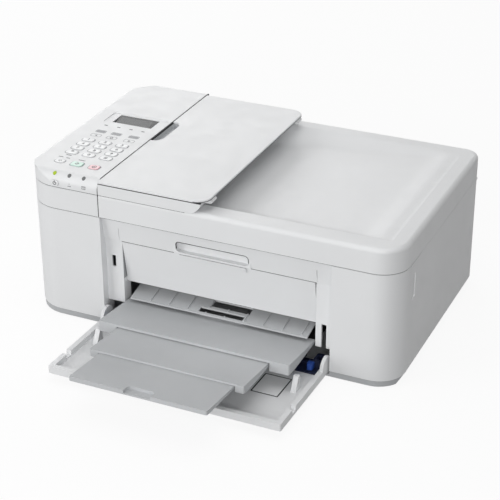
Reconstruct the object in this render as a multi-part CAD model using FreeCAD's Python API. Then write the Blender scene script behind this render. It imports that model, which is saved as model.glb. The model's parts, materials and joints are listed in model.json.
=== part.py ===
import FreeCAD, Part
import math
import os

# Ink-jet all-in-one printer: print engine, flat-bed scanner, document feeder and
# operation panel in one case. Millimetres. +X is to the right of someone facing
# the machine, +Y runs to its back and +Z is up. The origin is on the table, under
# the middle of the whole machine with its output tray drawn out.

# Case
LEFT_REACH = 246.5
RIGHT_REACH = 223.0
CASE_DEPTH = 295.0
CORNER_RADIUS = 33.0
LEFT_CORNER_RADIUS = 43.0
BACK_CORNER_RADIUS = 20.0
WALL = 2.2
SEAM = 0.8
GROOVE_DEPTH = 1.0
FOOT_HEIGHT = 1.2
FOOT_RADIUS = 8.0
FOOT_INSET_X = 34.0
FOOT_INSET_Y = 34.0
FLOOR_THICKNESS = 3.0
SKIRT_TOP = 8.6
SKIRT_INSET = 0.8
SKIRT_BEVEL = 4.6
SPIGOT_TOP = 14.0
SIDE_LEDGE = 0.5
REAR_LEFT = 43.5 - LEFT_REACH
REAR_RIGHT = RIGHT_REACH - 28.0
PULL_HEIGHT = 30.0
PULL_WIDTH = 11.0
PULL_SETBACK = 46.0
PULL_Z = 112.5
BODY_TOP = 143.0
BAY_SIDE_GAP = 2.0
COLUMN_RETURN = 24.0

# Front of the print engine, measured inwards from the case's front
TRIM_WIDTH = 22.0
TRIM_BOTTOM = 30.0
TRIM_SETBACK = 11.5
TRIM_RETURN = 16.0
BEZEL_BOTTOM = 113.0
BEZEL_SETBACK_TOP = 5.1
BEZEL_SETBACK_BOTTOM = 9.5
GRIP_WIDTH = 92.0
GRIP_HEIGHT = 16.0
GRIP_END = 15.0
GRIP_SHIFT = -4.4
GRIP_CORNER = 5.0
USB_SLOT_WIDTH = 5.0
USB_SLOT_HEIGHT = 15.0
USB_SLOT_BOTTOM = 76.0
USB_FROM_BAY_EDGE = 10.0

# Output cover, hinged along its lower edge
COVER_BOTTOM = 56.0
COVER_THICKNESS = 2.4
COVER_SETBACK_TOP = 10.0
COVER_SETBACK_BOTTOM = 19.5
COVER_SIDE_GAP = 1.0
COVER_PIN_RADIUS = 1.5
COVER_PIN_RISE = 2.0
COVER_LIP_WIDTH = 84.0
COVER_LIP_HEIGHT = 6.0
COVER_LIP_REACH = 2.2

# Telescopic output tray: three plates that rise towards the front
STAGE_RISE = 7.0
STAGE_REACH = 56.5
STAGE_FRONT_TOP = 42.3
STAGE_WIDTH = 238.0
STAGE_LENGTH = 76.5
STAGE_PLATE = 2.2
STAGE_SKIRT = 12.5
STAGE_GAP = 0.8
SLIDE_WIDTH = 188.0
SLIDE_TRAVEL = 63.5
SLIDE_PLATE = 2.0
SLIDE_SKIRT = 9.0
SLIDE_OVERLAP = 25.0
EXTENSION_WIDTH = 164.0
EXTENSION_TRAVEL = 65.5
EXTENSION_PLATE = 2.0
EXTENSION_SKIRT = 5.0
EXTENSION_OVERLAP = 25.5
STAGE_TAPER_START = 15.0
STAGE_TAPER_END = 2.6
EXTENSION_NOTCH_WIDTH = 32.0
EXTENSION_NOTCH_DEPTH = 12.0
EXTENSION_LIP = 1.6

# Front paper tray, drawn out of the base
TRAY_RISE = 2.0
TRAY_SIDE_ROOM = 23.0
TRAY_REACH = 133.5
TRAY_INSIDE = 20.0
TRAY_FLOOR = 2.0
TRAY_RIM_HEIGHT = 9.0
TRAY_CORNER = 2.0
TRAY_RIM_WIDTH = 6.0
TRAY_EAR_RADIUS = 13.0
TRAY_EAR_THICKNESS = 4.0
TRAY_EAR_Y = -22.0
TRAY_LIFT = 0.6
TRAY_TRAVEL = 120.0
TRAY_NOTCH_WIDTH = 9.0
TRAY_NOTCH_FROM_FRONT = 36.0
TRAY_POST_HEIGHT = 17.0
TRAY_POST_WIDTH = 6.0
TRAY_POST_FROM_FRONT = 74.0
PAPER_WIDTH = 210.0
GUIDE_FENCE_HEIGHT = 6.5
GUIDE_HANDLE_HEIGHT = 11.0
GUIDE_HANDLE_WIDTH = 9.0
GUIDE_LEVER = 7.0
GUIDE_LENGTH = 48.0
GUIDE_CENTRE = 20.0
GUIDE_BASE_THICKNESS = 1.4
GUIDE_REST_GAP = 0.3

# Lid, document feeder and operation panel
LID_RIM = 174.0
LID_EDGE_ROUND = 5.5
LID_CEILING = 156.0
LID_WALL = 2.6
HINGE_SETBACK = 3.0
HINGE_RADIUS = 2.6
HINGE_PIN_RADIUS = 1.0
HINGE_LENGTH = 20.0
PIVOT_CLEARANCE = 0.05
REAR_RELIEF = 5.0
BASIN_DEPTH = 14.0
BASIN_END_DEPTH = 2.4
BASIN_BEND = 1.5
BASIN_FRONT_RUN = 2.6
BASIN_BACK_RUN = 2.2
BASIN_BACK_EASE = 12.0
BASIN_RIGHT_RUN = 32.0
BASIN_OVERRUN = 6.0
BASIN_COLUMNS = 24
BASIN_ROWS = 40
BASIN_FRONT_MARGIN = 24.0
BASIN_BACK_MARGIN = 20.0
BASIN_BACK_FLOOR = 27.0
BASIN_RIGHT_MARGIN = 25.0
PANEL_WIDTH = 101.0
PANEL_GAP = 1.1
PANEL_BODY_TOP = 172.0
PANEL_TOP = 188.5
PANEL_FRONT_ROUND = 12.0
PANEL_SIDE_ROUND = 4.0
PANEL_SEAM_ROUND = 1.0
PANEL_SKIN = 3.0
FEEDER_WIDTH = 138.0
FEEDER_BOTTOM = 171.2
FEEDER_HEIGHT = 14.8
FEEDER_BACK_SETBACK = 7.0
FEEDER_NOSE = 26.0
FEEDER_NOSE_RADIUS = 20.0
FEEDER_RECESS_DEPTH = 8.0
FEEDER_FLOOR = 2.5
FEEDER_END_WALL = 24.0
FEEDER_LEFT_WALL = 15.0
FEEDER_EXIT_DEPTH = 62.0
DOCUMENT_TRAY_THICKNESS = 2.4
DOCUMENT_TRAY_GAP = 0.6
DOCUMENT_TRAY_SKIN = 1.8
DOCUMENT_TRAY_CORNER = 16.0
FINGER_NOTCH_FROM_FRONT = 130.0
FINGER_NOTCH_LENGTH = 62.0
FINGER_NOTCH_DEPTH = 13.0
FINGER_POCKET = 6.0
DOCUMENT_PIN_RADIUS = 1.5
DOCUMENT_KNUCKLE_RADIUS = 2.4
DOCUMENT_EAR_RADIUS = 2.2
DOCUMENT_EAR_INSET = 14.0
DOCUMENT_EAR_WIDTH = 4.0
DOCUMENT_KNUCKLE_WIDTH = 8.0

# Keys and display on the operation panel
KEY_TRAVEL = 1.0
KEY_PROUD = 0.8
KEY_GAP = 0.35
KEY_WIDTH = 15.0
KEY_DEPTH = 8.0
KEY_CORNER = 3.2
KEY_PITCH_X = 23.0
KEY_PITCH_Y = 13.2
KEY_FIRST_ROW = 61.0
KEY_MIDDLE_COLUMN = 56.5
START_ROW = 33.5
START_WIDTH = 15.0
START_DEPTH = 11.0
COLOUR_WIDTH = 12.0
COLOUR_DEPTH = 8.0
POWER_WIDTH = 9.0
POWER_HEIGHT = 6.4
POWER_LENGTH = 3.2
POWER_Z = 177.0
POWER_FROM_LEFT = 45.5
LAMP_ROW = 5.6
LAMP_HEIGHT = 6.3
LAMP_RADIUS = 2.2
LAMP_OFFSETS = (43.0, 62.5, 81.5)
LAMP_PROUD = 0.4
DISPLAY_WIDTH = 54.0
DISPLAY_DEPTH = 24.0
DISPLAY_FRONT = 163.0
DISPLAY_FROM_LEFT = 31.5
DISPLAY_SINK = 3.4
RECESS_SINK = 0.8
RECESS_FROM_LEFT = 20.5
RECESS_FROM_RIGHT = 4.5
RECESS_MARGIN = 3.5
BOARD_THICKNESS = 1.6
LEDGE_PLACES = (0.10, 0.37, 0.64, 0.88)

# Scanner
GLASS_THICKNESS = 2.6
GLASS_LENGTH = 300.0
GLASS_DEPTH = 218.0
GLASS_STRIP = 16.0
GLASS_FROM_PANEL = 44.0
BED_BOTTOM = 116.0
BED_WALL = 2.0
SCAN_ROD_RADIUS = 3.0
SCAN_HEAD_WIDTH = 20.0
SCAN_TRAVEL = 296.0

# Print engine
CHASSIS_SHEET = 1.2
CHASSIS_HALF_WIDTH = 198.0
CHASSIS_TOP = 112.0
CHASSIS_FRONT = 58.0
CHASSIS_BACK = 232.0
RAIL_SETBACK = 150.0
RAIL_FLANGE = 30.0
PLATEN_TOP = 50.0
PLATEN_THICKNESS = 4.0
PLATEN_FRONT = 70.5
PLATEN_BACK = 125.0
PLATEN_RIB = 1.5
PLATEN_RIB_COUNT = 15
RAMP_FRONT = 9.0
RAMP_BACK = 59.5
RAMP_FRONT_TOP = 40.0
RAMP_BACK_TOP = 51.0
RAMP_SKIN = 1.8
RAMP_WIDTH = 226.0
RAMP_RIB_COUNT = 9
FEED_AXIS = 132.0
FEED_HEIGHT = 45.5
FEED_RADIUS = 5.5
EJECT_AXIS = 65.0
EJECT_HEIGHT = 46.6
EJECT_RADIUS = 4.6
PICK_AXIS = 168.0
PICK_HEIGHT = 27.0
PICK_RADIUS = 11.0
SHAFT_RADIUS = 3.0
GEAR_TEETH = 24
GEAR_RADIUS = 10.0
GEAR_TOOTH = 2.0
GEAR_WIDTH = 6.0
CARRIAGE_WIDTH = 88.0
CARRIAGE_FRONT = 78.0
CARRIAGE_BACK = 118.0
CARRIAGE_BOTTOM = 54.0
CARRIAGE_TOP = 104.0
CARRIAGE_PARK = 148.0
CARRIAGE_TRAVEL = 290.0
BELT_HEIGHT = 80.0
BELT_WIDTH = 4.0
BELT_SETBACK = 138.0
PULLEY_RADIUS = 6.0
PULLEY_FROM_SIDE = 16.0
MOTOR_RADIUS = 12.0
MOTOR_LENGTH = 19.0
REAR_COVER_WIDTH = 200.0
REAR_COVER_BOTTOM = 22.0
REAR_COVER_TOP = 92.0
REAR_PIN_RISE = 2.0
REAR_PIN_RADIUS = 0.7
REAR_PIN_REACH = 2.4
REAR_GAP = 0.8
MAINTENANCE_FRONT = 75.0
MAINTENANCE_DEPTH = 47.0
MAIN_BOARD_FRONT = 70.0
MAIN_BOARD_LENGTH = 100.0
POWER_SUPPLY_FRONT = 236.0

# Places that follow from the sizes above
STAGE_TILT = math.radians(STAGE_RISE)
SLIDE_TOP = -STAGE_PLATE - 2 * STAGE_GAP
EXTENSION_TOP = SLIDE_TOP - SLIDE_PLATE - STAGE_GAP
EXTENSION_LOW = EXTENSION_TOP - EXTENSION_SKIRT
LEFT = -LEFT_REACH
RIGHT = RIGHT_REACH
CENTRE_SHIFT = -(LEFT + RIGHT) / 2
DRAWN_OUT = (SLIDE_TRAVEL + EXTENSION_TRAVEL) * math.cos(STAGE_TILT)
FULL_REACH = STAGE_REACH + DRAWN_OUT - EXTENSION_LOW * math.sin(STAGE_TILT)
FRONT = (FULL_REACH - CASE_DEPTH) / 2
BACK = FRONT + CASE_DEPTH
MIDDLE = (FRONT + BACK) / 2
TRAY_WIDTH = STAGE_WIDTH + 2 * TRAY_SIDE_ROOM
BAY_WIDTH = TRAY_WIDTH + 2 * BAY_SIDE_GAP
BAY = BAY_WIDTH / 2
FLOOR_TOP = FOOT_HEIGHT + FLOOR_THICKNESS
PANEL_RIGHT = LEFT + PANEL_WIDTH
LID_LEFT = PANEL_RIGHT + PANEL_GAP
LID_BOTTOM = BODY_TOP + SEAM
HINGE_Y = BACK - HINGE_SETBACK
HINGE_Z = BODY_TOP + SEAM / 2
FEEDER_RIGHT = LID_LEFT + FEEDER_WIDTH
FEEDER_DECK = FEEDER_BOTTOM + FEEDER_HEIGHT
FEEDER_RECESS_FLOOR = FEEDER_DECK - FEEDER_RECESS_DEPTH
DOCUMENT_TRAY_LOW = FEEDER_DECK + DOCUMENT_TRAY_GAP
DOCUMENT_TRAY_TOP = DOCUMENT_TRAY_LOW + DOCUMENT_TRAY_THICKNESS
FEEDER_BACK = BACK - FEEDER_BACK_SETBACK
EPS = 0.01


def vec(x, y, z):
    return FreeCAD.Vector(x, y, z)


def block(x, y, z):
    """A box between three (low, high) pairs."""
    return Part.makeBox(x[1] - x[0], y[1] - y[0], z[1] - z[0], vec(x[0], y[0], z[0]))


def rounded(x, y, z, radii):
    """An upright prism; radii are front left, front right, back right, back left."""
    if not isinstance(radii, tuple):
        radii = (radii,) * 4
    corners = [(x[0], y[0]), (x[1], y[0]), (x[1], y[1]), (x[0], y[1])]
    edges = []
    tips = []
    for i, corner in enumerate(corners):
        here = vec(corner[0], corner[1], z[0])
        before = vec(*corners[i - 1], z[0])
        after = vec(*corners[(i + 1) % 4], z[0])
        radius = radii[i]
        to_before = (before - here).normalize()
        to_after = (after - here).normalize()
        start = here + to_before * radius
        end = here + to_after * radius
        tips.append((start, end, here + (to_before + to_after) * radius, radius))
    for i, (start, end, centre, radius) in enumerate(tips):
        if radius > EPS:
            outward = (start - centre) + (end - centre)
            middle = centre + outward.normalize() * radius
            edges.append(Part.Arc(start, middle, end).toShape())
        edges.append(Part.makeLine(end, tips[(i + 1) % 4][0]))
    return Part.Face(Part.Wire(edges)).extrude(vec(0, 0, z[1] - z[0]))


def profile_x(points, x):
    """A (y, z) polygon drawn out along X."""
    corners = [vec(x[0], y, z) for y, z in points]
    return Part.Face(Part.makePolygon(corners + corners[:1])).extrude(vec(x[1] - x[0], 0, 0))


def profile_y(points, y):
    """An (x, z) polygon drawn out along Y."""
    corners = [vec(x, y[0], z) for x, z in points]
    return Part.Face(Part.makePolygon(corners + corners[:1])).extrude(vec(0, y[1] - y[0], 0))


def rod_x(x, y, z, radius):
    return Part.makeCylinder(radius, x[1] - x[0], vec(x[0], y, z), vec(1, 0, 0))


def rod_y(x, y, z, radius):
    return Part.makeCylinder(radius, y[1] - y[0], vec(x, y[0], z), vec(0, 1, 0))


def rod_z(x, y, z, radius):
    return Part.makeCylinder(radius, z[1] - z[0], vec(x, y, z[0]), vec(0, 0, 1))


def joined(first, *others):
    return first.fuse(list(others)).removeSplitter()


def group(solids):
    return Part.makeCompound(solids)


def both_sides(solid):
    """A solid and its mirror image across the middle of the machine."""
    return [solid, solid.mirror(vec(0, 0, 0), vec(1, 0, 0))]


def case_prism(inset, z, x=None):
    """The case's plan, drawn in by an inset and kept to a range of x."""
    corners = (LEFT_CORNER_RADIUS, CORNER_RADIUS, BACK_CORNER_RADIUS, LEFT_CORNER_RADIUS)
    radii = tuple(corner - inset for corner in corners)
    whole = rounded((LEFT + inset, RIGHT - inset), (FRONT + inset, BACK - inset), z, radii)
    if x is None:
        return whole
    return whole.common(block(x, (FRONT - 1, BACK + 1), (z[0] - 1, z[1] + 1)))


# Base and outer covers
def side_bevels():
    """What the pan's sides lose as they slope in to the floor, so that only its front shows."""
    bevels = []
    for side, out in ((LEFT, -1), (RIGHT, 1)):
        top = (side - out * SKIRT_INSET, SKIRT_TOP - SEAM)
        foot = (top[0] - out * SKIRT_BEVEL, FOOT_HEIGHT)
        outside = side + out
        points = [top, foot, (foot[0], foot[1] - 1), (outside, foot[1] - 1), (outside, top[1])]
        bevels.append(profile_y(points, (FRONT - 1, BACK + 1)))
    return group(bevels)


def base_pan():
    top = SKIRT_TOP - SEAM
    pan = case_prism(SKIRT_INSET, (FOOT_HEIGHT, top))
    pan = pan.cut(case_prism(SKIRT_INSET + WALL, (FLOOR_TOP, top + 1)))
    doorway = block((-BAY, BAY), (FRONT - 1, FRONT + 3 * WALL), (FLOOR_TOP, top + 1))
    rail_low = TRAY_WIDTH / 2 + TRAY_LIFT
    rail_end = FRONT + TRAY_INSIDE + TRAY_TRAVEL
    rail = block((rail_low, rail_low + WALL), (FRONT + 3 * WALL, rail_end), (FLOOR_TOP, top))
    spigot = case_prism(WALL, (FLOOR_TOP, SPIGOT_TOP)).cut(case_prism(2 * WALL, (0, SPIGOT_TOP + 1)))
    spigot = spigot.cut(block((-BAY - WALL, BAY + WALL), (FRONT - 1, FRONT + COLUMN_RETURN), (0, 50)))
    return joined(pan.cut(doorway), spigot, *both_sides(rail)).cut(side_bevels())


def rubber_feet():
    feet = []
    for x in (LEFT + FOOT_INSET_X, RIGHT - FOOT_INSET_X):
        for y in (FRONT + FOOT_INSET_Y, BACK - FOOT_INSET_Y):
            foot = rod_z(x, y, (0, FOOT_HEIGHT), FOOT_RADIUS)
            rim = [e for e in foot.Edges if e.BoundBox.ZMax < EPS]
            feet.append(foot.makeChamfer(FOOT_HEIGHT / 4, rim))
    return group(feet)


def case_wall(x, top):
    ring = case_prism(0, (SKIRT_TOP, top)).cut(case_prism(WALL, (SKIRT_TOP - 1, top + 1)))
    return ring.common(block(x, (FRONT - 1, BACK + 1), (0, top + 1)))


def hinge_relief(x):
    """Room behind the lid for its lower rear edge as it swings."""
    y = (HINGE_Y - HINGE_RADIUS - 0.5, BACK + 1)
    return block(x, y, (BODY_TOP - REAR_RELIEF, BODY_TOP + 1))


def rear_gap():
    """The part of the back between the side covers, which the rear panel closes."""
    x = (REAR_LEFT - SEAM, REAR_RIGHT + SEAM)
    return block(x, (BACK - 2 * WALL, BACK + 1), (0, BODY_TOP + 1))


def side_cover(side):
    inner = block((BAY, BAY + WALL), (FRONT, FRONT + COLUMN_RETURN), (SKIRT_TOP, BODY_TOP))
    if side < 0:
        inner = inner.mirror(vec(0, 0, 0), vec(1, 0, 0))
        return joined(case_wall((LEFT - 1, -BAY), BODY_TOP).cut(rear_gap()), inner)
    ledge_y = (FRONT + CORNER_RADIUS + COLUMN_RETURN, HINGE_Y - 4 * HINGE_RADIUS)
    ledge = block((RIGHT - WALL, RIGHT), ledge_y, (BODY_TOP - 1, BODY_TOP + SIDE_LEDGE))
    cover = joined(case_wall((BAY, RIGHT + 1), BODY_TOP).cut(rear_gap()), inner, ledge)
    cover = cover.cut(hinge_relief((BAY - 1, RIGHT + 1)))
    pull = rounded((-PULL_HEIGHT / 2, PULL_HEIGHT / 2), (-PULL_WIDTH / 2, PULL_WIDTH / 2), (-0.8, 1), 2)
    pull.rotate(vec(0, 0, 0), vec(0, 1, 0), 90)
    pull.translate(vec(RIGHT, FRONT + PULL_SETBACK, PULL_Z))
    return cover.cut(pull)


INLET_CENTRE = (REAR_RIGHT - 23.0, 32.0)
INLET_SIZE = (24.0, 14.0)
SOCKET_ROW = 40.0
SOCKET_PITCH = 20.0
USB_B_CENTRE = (REAR_LEFT + 13.0, SOCKET_ROW)
USB_B_SIZE = (12.5, 11.5)
JACK_CENTRES = (
    (USB_B_CENTRE[0] + SOCKET_PITCH, SOCKET_ROW),
    (USB_B_CENTRE[0] + 2 * SOCKET_PITCH, SOCKET_ROW),
)
JACK_SIZE = (12.0, 11.5)
SOCKET_DEPTH = 14.0
SOCKET_WALL = 1.0
SOCKET_GAP = 0.3
SOCKET_LIP = 1.8
SOCKET_RECESS = 0.4
BANK_MARGIN = 8.5


def port(centre, size, y, grow=0.0):
    half_x = size[0] / 2 + grow
    half_z = size[1] / 2 + grow
    return block(
        (centre[0] - half_x, centre[0] + half_x), y, (centre[1] - half_z, centre[1] + half_z)
    )


def inlet_hole():
    return port(INLET_CENTRE, INLET_SIZE, (BACK - 2 * WALL, BACK + 1))


def bank_window():
    """The one window in the rear panel that the computer and telephone sockets stand in side by side."""
    x = (USB_B_CENTRE[0] - BANK_MARGIN, JACK_CENTRES[-1][0] + BANK_MARGIN)
    return block(x, (BACK - 2 * WALL, BACK + 1), (SOCKET_ROW - BANK_MARGIN, SOCKET_ROW + BANK_MARGIN))


def socket(centre, size, contacts):
    """A cup behind the case wall with its contact pieces standing in it."""
    y = (BACK - WALL - SOCKET_DEPTH, BACK - WALL)
    cup = port(centre, size, y, SOCKET_WALL)
    cup = cup.cut(port(centre, size, (y[0] + SOCKET_WALL, y[1] + 1)))
    return joined(cup, *contacts)


def bank_socket(centre, size, contacts):
    """A block that fills its share of the window and bears on the panel's inner face with two lips."""
    reach = BANK_MARGIN - SOCKET_GAP
    inner = SOCKET_PITCH / 2 - SOCKET_GAP / 2
    x = (
        centre[0] - (reach if centre == USB_B_CENTRE else inner),
        centre[0] + (reach if centre == JACK_CENTRES[-1] else inner),
    )
    y = (BACK - WALL - SOCKET_DEPTH, BACK - WALL)
    body = block(x, (y[0], BACK - SOCKET_RECESS), (centre[1] - reach, centre[1] + reach))
    lips = block(x, y, (centre[1] - reach - SOCKET_LIP, centre[1] + reach + SOCKET_LIP))
    cup = joined(body, lips).cut(port(centre, size, (y[0] + SOCKET_WALL, BACK + 1)))
    return joined(cup, *contacts)


def sockets():
    y0 = BACK - WALL - SOCKET_DEPTH
    pins = [
        rod_y(INLET_CENTRE[0] + dx, (y0, y0 + 10), INLET_CENTRE[1], 1.2) for dx in (-4.3, 4.3)
    ]
    tongue = port(USB_B_CENTRE, (5.5, 3.2), (y0, y0 + 10))
    solids = [
        socket(INLET_CENTRE, INLET_SIZE, pins),
        bank_socket(USB_B_CENTRE, USB_B_SIZE, [tongue]),
    ]
    for centre in JACK_CENTRES:
        comb = port((centre[0], centre[1] + 3.5), (7, 1.4), (y0, y0 + 9))
        solids.append(bank_socket(centre, JACK_SIZE, [comb]))
    return group(solids + [usb_socket()])


def rear_opening(grow):
    half = REAR_COVER_WIDTH / 2 + grow
    z = (REAR_COVER_BOTTOM - grow, REAR_COVER_TOP + grow)
    return block((-half, half), (BACK - 2 * WALL, BACK + 1), z)


def rear_panel():
    x = (REAR_LEFT, REAR_RIGHT)
    panel = case_wall(x, BODY_TOP).common(block(x, (MIDDLE, BACK + 1), (0, BODY_TOP + 1)))
    panel = panel.cut(rear_opening(0)).cut(hinge_relief((LID_LEFT - PANEL_GAP / 2, RIGHT)))
    panel = panel.cut(bank_window()).cut(inlet_hole())
    slots = []
    for i in range(25):
        x = (i - 12) * 8.0
        slots.append(block((x - 1.5, x + 1.5), (BACK - 2 * WALL, BACK + 1), (104, 124)))
    return panel.cut(group(slots + rear_pins(PIVOT_CLEARANCE)))


def rear_pins(grow):
    """The pins at both ends of the rear cover's lower edge, or the holes they turn in."""
    half = REAR_COVER_WIDTH / 2 - REAR_GAP
    x = (half - 4, half + REAR_GAP + REAR_PIN_REACH + 2 * grow)
    z = REAR_COVER_BOTTOM + REAR_PIN_RISE
    return both_sides(rod_x(x, BACK - WALL / 2, z, REAR_PIN_RADIUS + grow))


def rear_cover():
    half = REAR_COVER_WIDTH / 2 - REAR_GAP
    z = (REAR_COVER_BOTTOM + REAR_GAP, REAR_COVER_TOP - REAR_GAP)
    plate = block((-half, half), (BACK - WALL, BACK), z)
    ribs = []
    for i in range(7):
        x = (i - 3) * 27.0
        points = [
            (BACK - WALL, z[0] + 10),
            (BACK - WALL - 5, z[0] + 16),
            (BACK - WALL - 9, z[0] + 34),
            (BACK - WALL - 5, z[1] - 14),
            (BACK - WALL, z[1] - 8),
        ]
        ribs.append(profile_x(points, (x - 1, x + 1)))
    latch = rounded((-17, 17), (-4, 4), (-0.9, 1), 3.9)
    latch.rotate(vec(0, 0, 0), vec(1, 0, 0), -90)
    latch.translate(vec(0, BACK, z[1] - 9))
    return joined(plate, *ribs, *rear_pins(0)).cut(latch)


# Front of the engine
def setback_at(z):
    """Depth of the sloping bezel face behind the case front at a height."""
    part = (z - BEZEL_BOTTOM) / (BODY_TOP - BEZEL_BOTTOM)
    return BEZEL_SETBACK_BOTTOM + part * (BEZEL_SETBACK_TOP - BEZEL_SETBACK_BOTTOM)


def grip_bezel():
    top = BODY_TOP
    face = [
        (FRONT + BEZEL_SETBACK_BOTTOM, BEZEL_BOTTOM),
        (FRONT + BEZEL_SETBACK_TOP, top),
        (FRONT + BEZEL_SETBACK_TOP + WALL, top),
        (FRONT + BEZEL_SETBACK_BOTTOM + WALL, BEZEL_BOTTOM),
    ]
    bezel = profile_x(face, (-BAY, BAY))
    x = (GRIP_SHIFT - GRIP_WIDTH / 2, GRIP_SHIFT + GRIP_WIDTH / 2)
    y = (FRONT + setback_at(BEZEL_BOTTOM + GRIP_HEIGHT) + WALL / 2, FRONT + GRIP_END + WALL)
    z = (BEZEL_BOTTOM, BEZEL_BOTTOM + GRIP_HEIGHT + WALL)
    pocket = block((x[0] - WALL, x[1] + WALL), y, z)
    hollow = rounded(x, (-z[1] + WALL, -z[0] - WALL), (0, GRIP_END), GRIP_CORNER)
    hollow.rotate(vec(0, 0, 0), vec(1, 0, 0), -90)
    hollow.translate(vec(0, FRONT, 0))
    grooves = []
    for x in (BAY - TRIM_WIDTH + 2, -BAY + TRIM_WIDTH - 2):
        grooves.append(block((x - 0.3, x + 0.3), (FRONT, FRONT + 9.6), (BEZEL_BOTTOM - 1, 130)))
    return joined(bezel, pocket).cut(hollow).cut(group(grooves))


def cover_axis():
    return FRONT + COVER_SETBACK_BOTTOM + COVER_THICKNESS / 2, COVER_BOTTOM + COVER_PIN_RISE


def front_trim():
    inner = BAY - TRIM_WIDTH
    y0 = FRONT + TRIM_SETBACK
    top = BEZEL_BOTTOM
    face = block((inner, BAY), (y0, y0 + WALL), (TRIM_BOTTOM, top))
    cheek = block((inner, inner + WALL), (y0, y0 + TRIM_RETURN), (TRIM_BOTTOM, top))
    axis_y, axis_z = cover_axis()
    hole = rod_x((inner - 1, inner + WALL + 1), axis_y, axis_z, COVER_PIN_RADIUS + PIVOT_CLEARANCE)
    strip = joined(face, cheek).cut(hole)
    left = strip.mirror(vec(0, 0, 0), vec(1, 0, 0)).cut(usb_hole())
    latch_slot = block((BAY - 15, BAY - 9), (y0 - 1, y0 + WALL + 1), (TRIM_BOTTOM - 1, 60))
    return group([left, strip.cut(latch_slot)])


def usb_hole(grow=0.0, y=None):
    x = -BAY + USB_FROM_BAY_EDGE
    half = USB_SLOT_WIDTH / 2 + grow
    z = (USB_SLOT_BOTTOM - grow, USB_SLOT_BOTTOM + USB_SLOT_HEIGHT + grow)
    if y is None:
        y = (FRONT + TRIM_SETBACK - 1, FRONT + TRIM_SETBACK + WALL + 1)
    return block((x - half, x + half), y, z)


def usb_socket():
    y = (FRONT + TRIM_SETBACK + WALL, FRONT + TRIM_SETBACK + WALL + 14)
    shell = usb_hole(0.8, y).cut(usb_hole(0, (y[0] - 1, y[1] - 1)))
    x = -BAY + USB_FROM_BAY_EDGE
    z = (USB_SLOT_BOTTOM + 2, USB_SLOT_BOTTOM + USB_SLOT_HEIGHT - 2)
    return joined(shell, block((x + 0.3, x + 1.9), (y[0] + 2, y[1] - 0.5), z))


def output_cover():
    half = BAY - TRIM_WIDTH - COVER_SIDE_GAP
    top = BEZEL_BOTTOM - SEAM
    y_top = FRONT + COVER_SETBACK_TOP
    y_low = FRONT + COVER_SETBACK_BOTTOM
    face = [
        (y_low, COVER_BOTTOM),
        (y_top, top),
        (y_top + COVER_THICKNESS, top),
        (y_low + COVER_THICKNESS, COVER_BOTTOM),
    ]
    plate = profile_x(face, (-half, half))
    lean = (y_low - y_top) / (top - COVER_BOTTOM)
    lip_low = top - COVER_LIP_HEIGHT
    lip = [
        (y_top + lean * COVER_LIP_HEIGHT + 1, lip_low - 1),
        (y_top + lean * COVER_LIP_HEIGHT - COVER_LIP_REACH, lip_low + 1),
        (y_top - COVER_LIP_REACH, top),
        (y_top + 1, top),
    ]
    lip_x = (GRIP_SHIFT - COVER_LIP_WIDTH / 2, GRIP_SHIFT + COVER_LIP_WIDTH / 2)
    pieces = [profile_x(lip, lip_x)]
    axis_y, axis_z = cover_axis()
    pin_end = half + COVER_SIDE_GAP + WALL - 0.2
    pieces += both_sides(rod_x((half - 4, pin_end), axis_y, axis_z, COVER_PIN_RADIUS))
    for i in range(7):
        x = (i - 3) * 36.0
        web = [
            (y_low + COVER_THICKNESS - 0.5, COVER_BOTTOM + 8),
            (y_low + COVER_THICKNESS + 3, COVER_BOTTOM + 12),
            (y_top + COVER_THICKNESS + 3 + lean * 12, top - 12),
            (y_top + COVER_THICKNESS - 0.5 + lean * 8, top - 8),
        ]
        pieces.append(profile_x(web, (x - 0.8, x + 0.8)))
    return joined(plate, *pieces)


# Output tray stages, drawn level and then tilted up towards the front
def on_stage(shape):
    shape.rotate(vec(0, 0, 0), vec(1, 0, 0), -STAGE_RISE)
    shape.translate(vec(0, FRONT - STAGE_REACH, STAGE_FRONT_TOP))
    return shape


def stage_plate(width, s, top, plate, skirt, lip, doorway):
    """An upside-down tray with a doorway in its front skirt for the next stage."""
    half = width / 2
    body = rounded((-half, half), s, (top - skirt, top), (2, 2, 0.5, 0.5))
    hollow = block((-half + plate, half - plate), (s[0] + plate, s[1] + 1), (top - skirt - 1, top - plate))
    door = block((-doorway / 2, doorway / 2), (s[0] - 1, s[0] + plate + 1), (top - skirt - 1, top - lip))
    taper = [
        (s[0] + STAGE_TAPER_START, top - skirt),
        (s[1] + 1, top - STAGE_TAPER_END),
        (s[1] + 1, top - skirt - 1),
        (s[0] + STAGE_TAPER_START, top - skirt - 1),
    ]
    return body.cut(hollow).cut(door).cut(profile_x(taper, (-half - 1, half + 1)))


def output_tray():
    doorway = SLIDE_WIDTH + 4 * STAGE_GAP
    lip = -SLIDE_TOP - STAGE_GAP
    shape = stage_plate(STAGE_WIDTH, (0, STAGE_LENGTH), 0, STAGE_PLATE, STAGE_SKIRT, lip, doorway)
    return on_stage(shape)


def output_slide():
    doorway = EXTENSION_WIDTH + 4 * STAGE_GAP
    lip = SLIDE_TOP - EXTENSION_TOP - STAGE_GAP / 2
    s = (-SLIDE_TRAVEL, SLIDE_OVERLAP)
    shape = stage_plate(SLIDE_WIDTH, s, SLIDE_TOP, SLIDE_PLATE, SLIDE_SKIRT, lip, doorway)
    return on_stage(shape)


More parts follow.
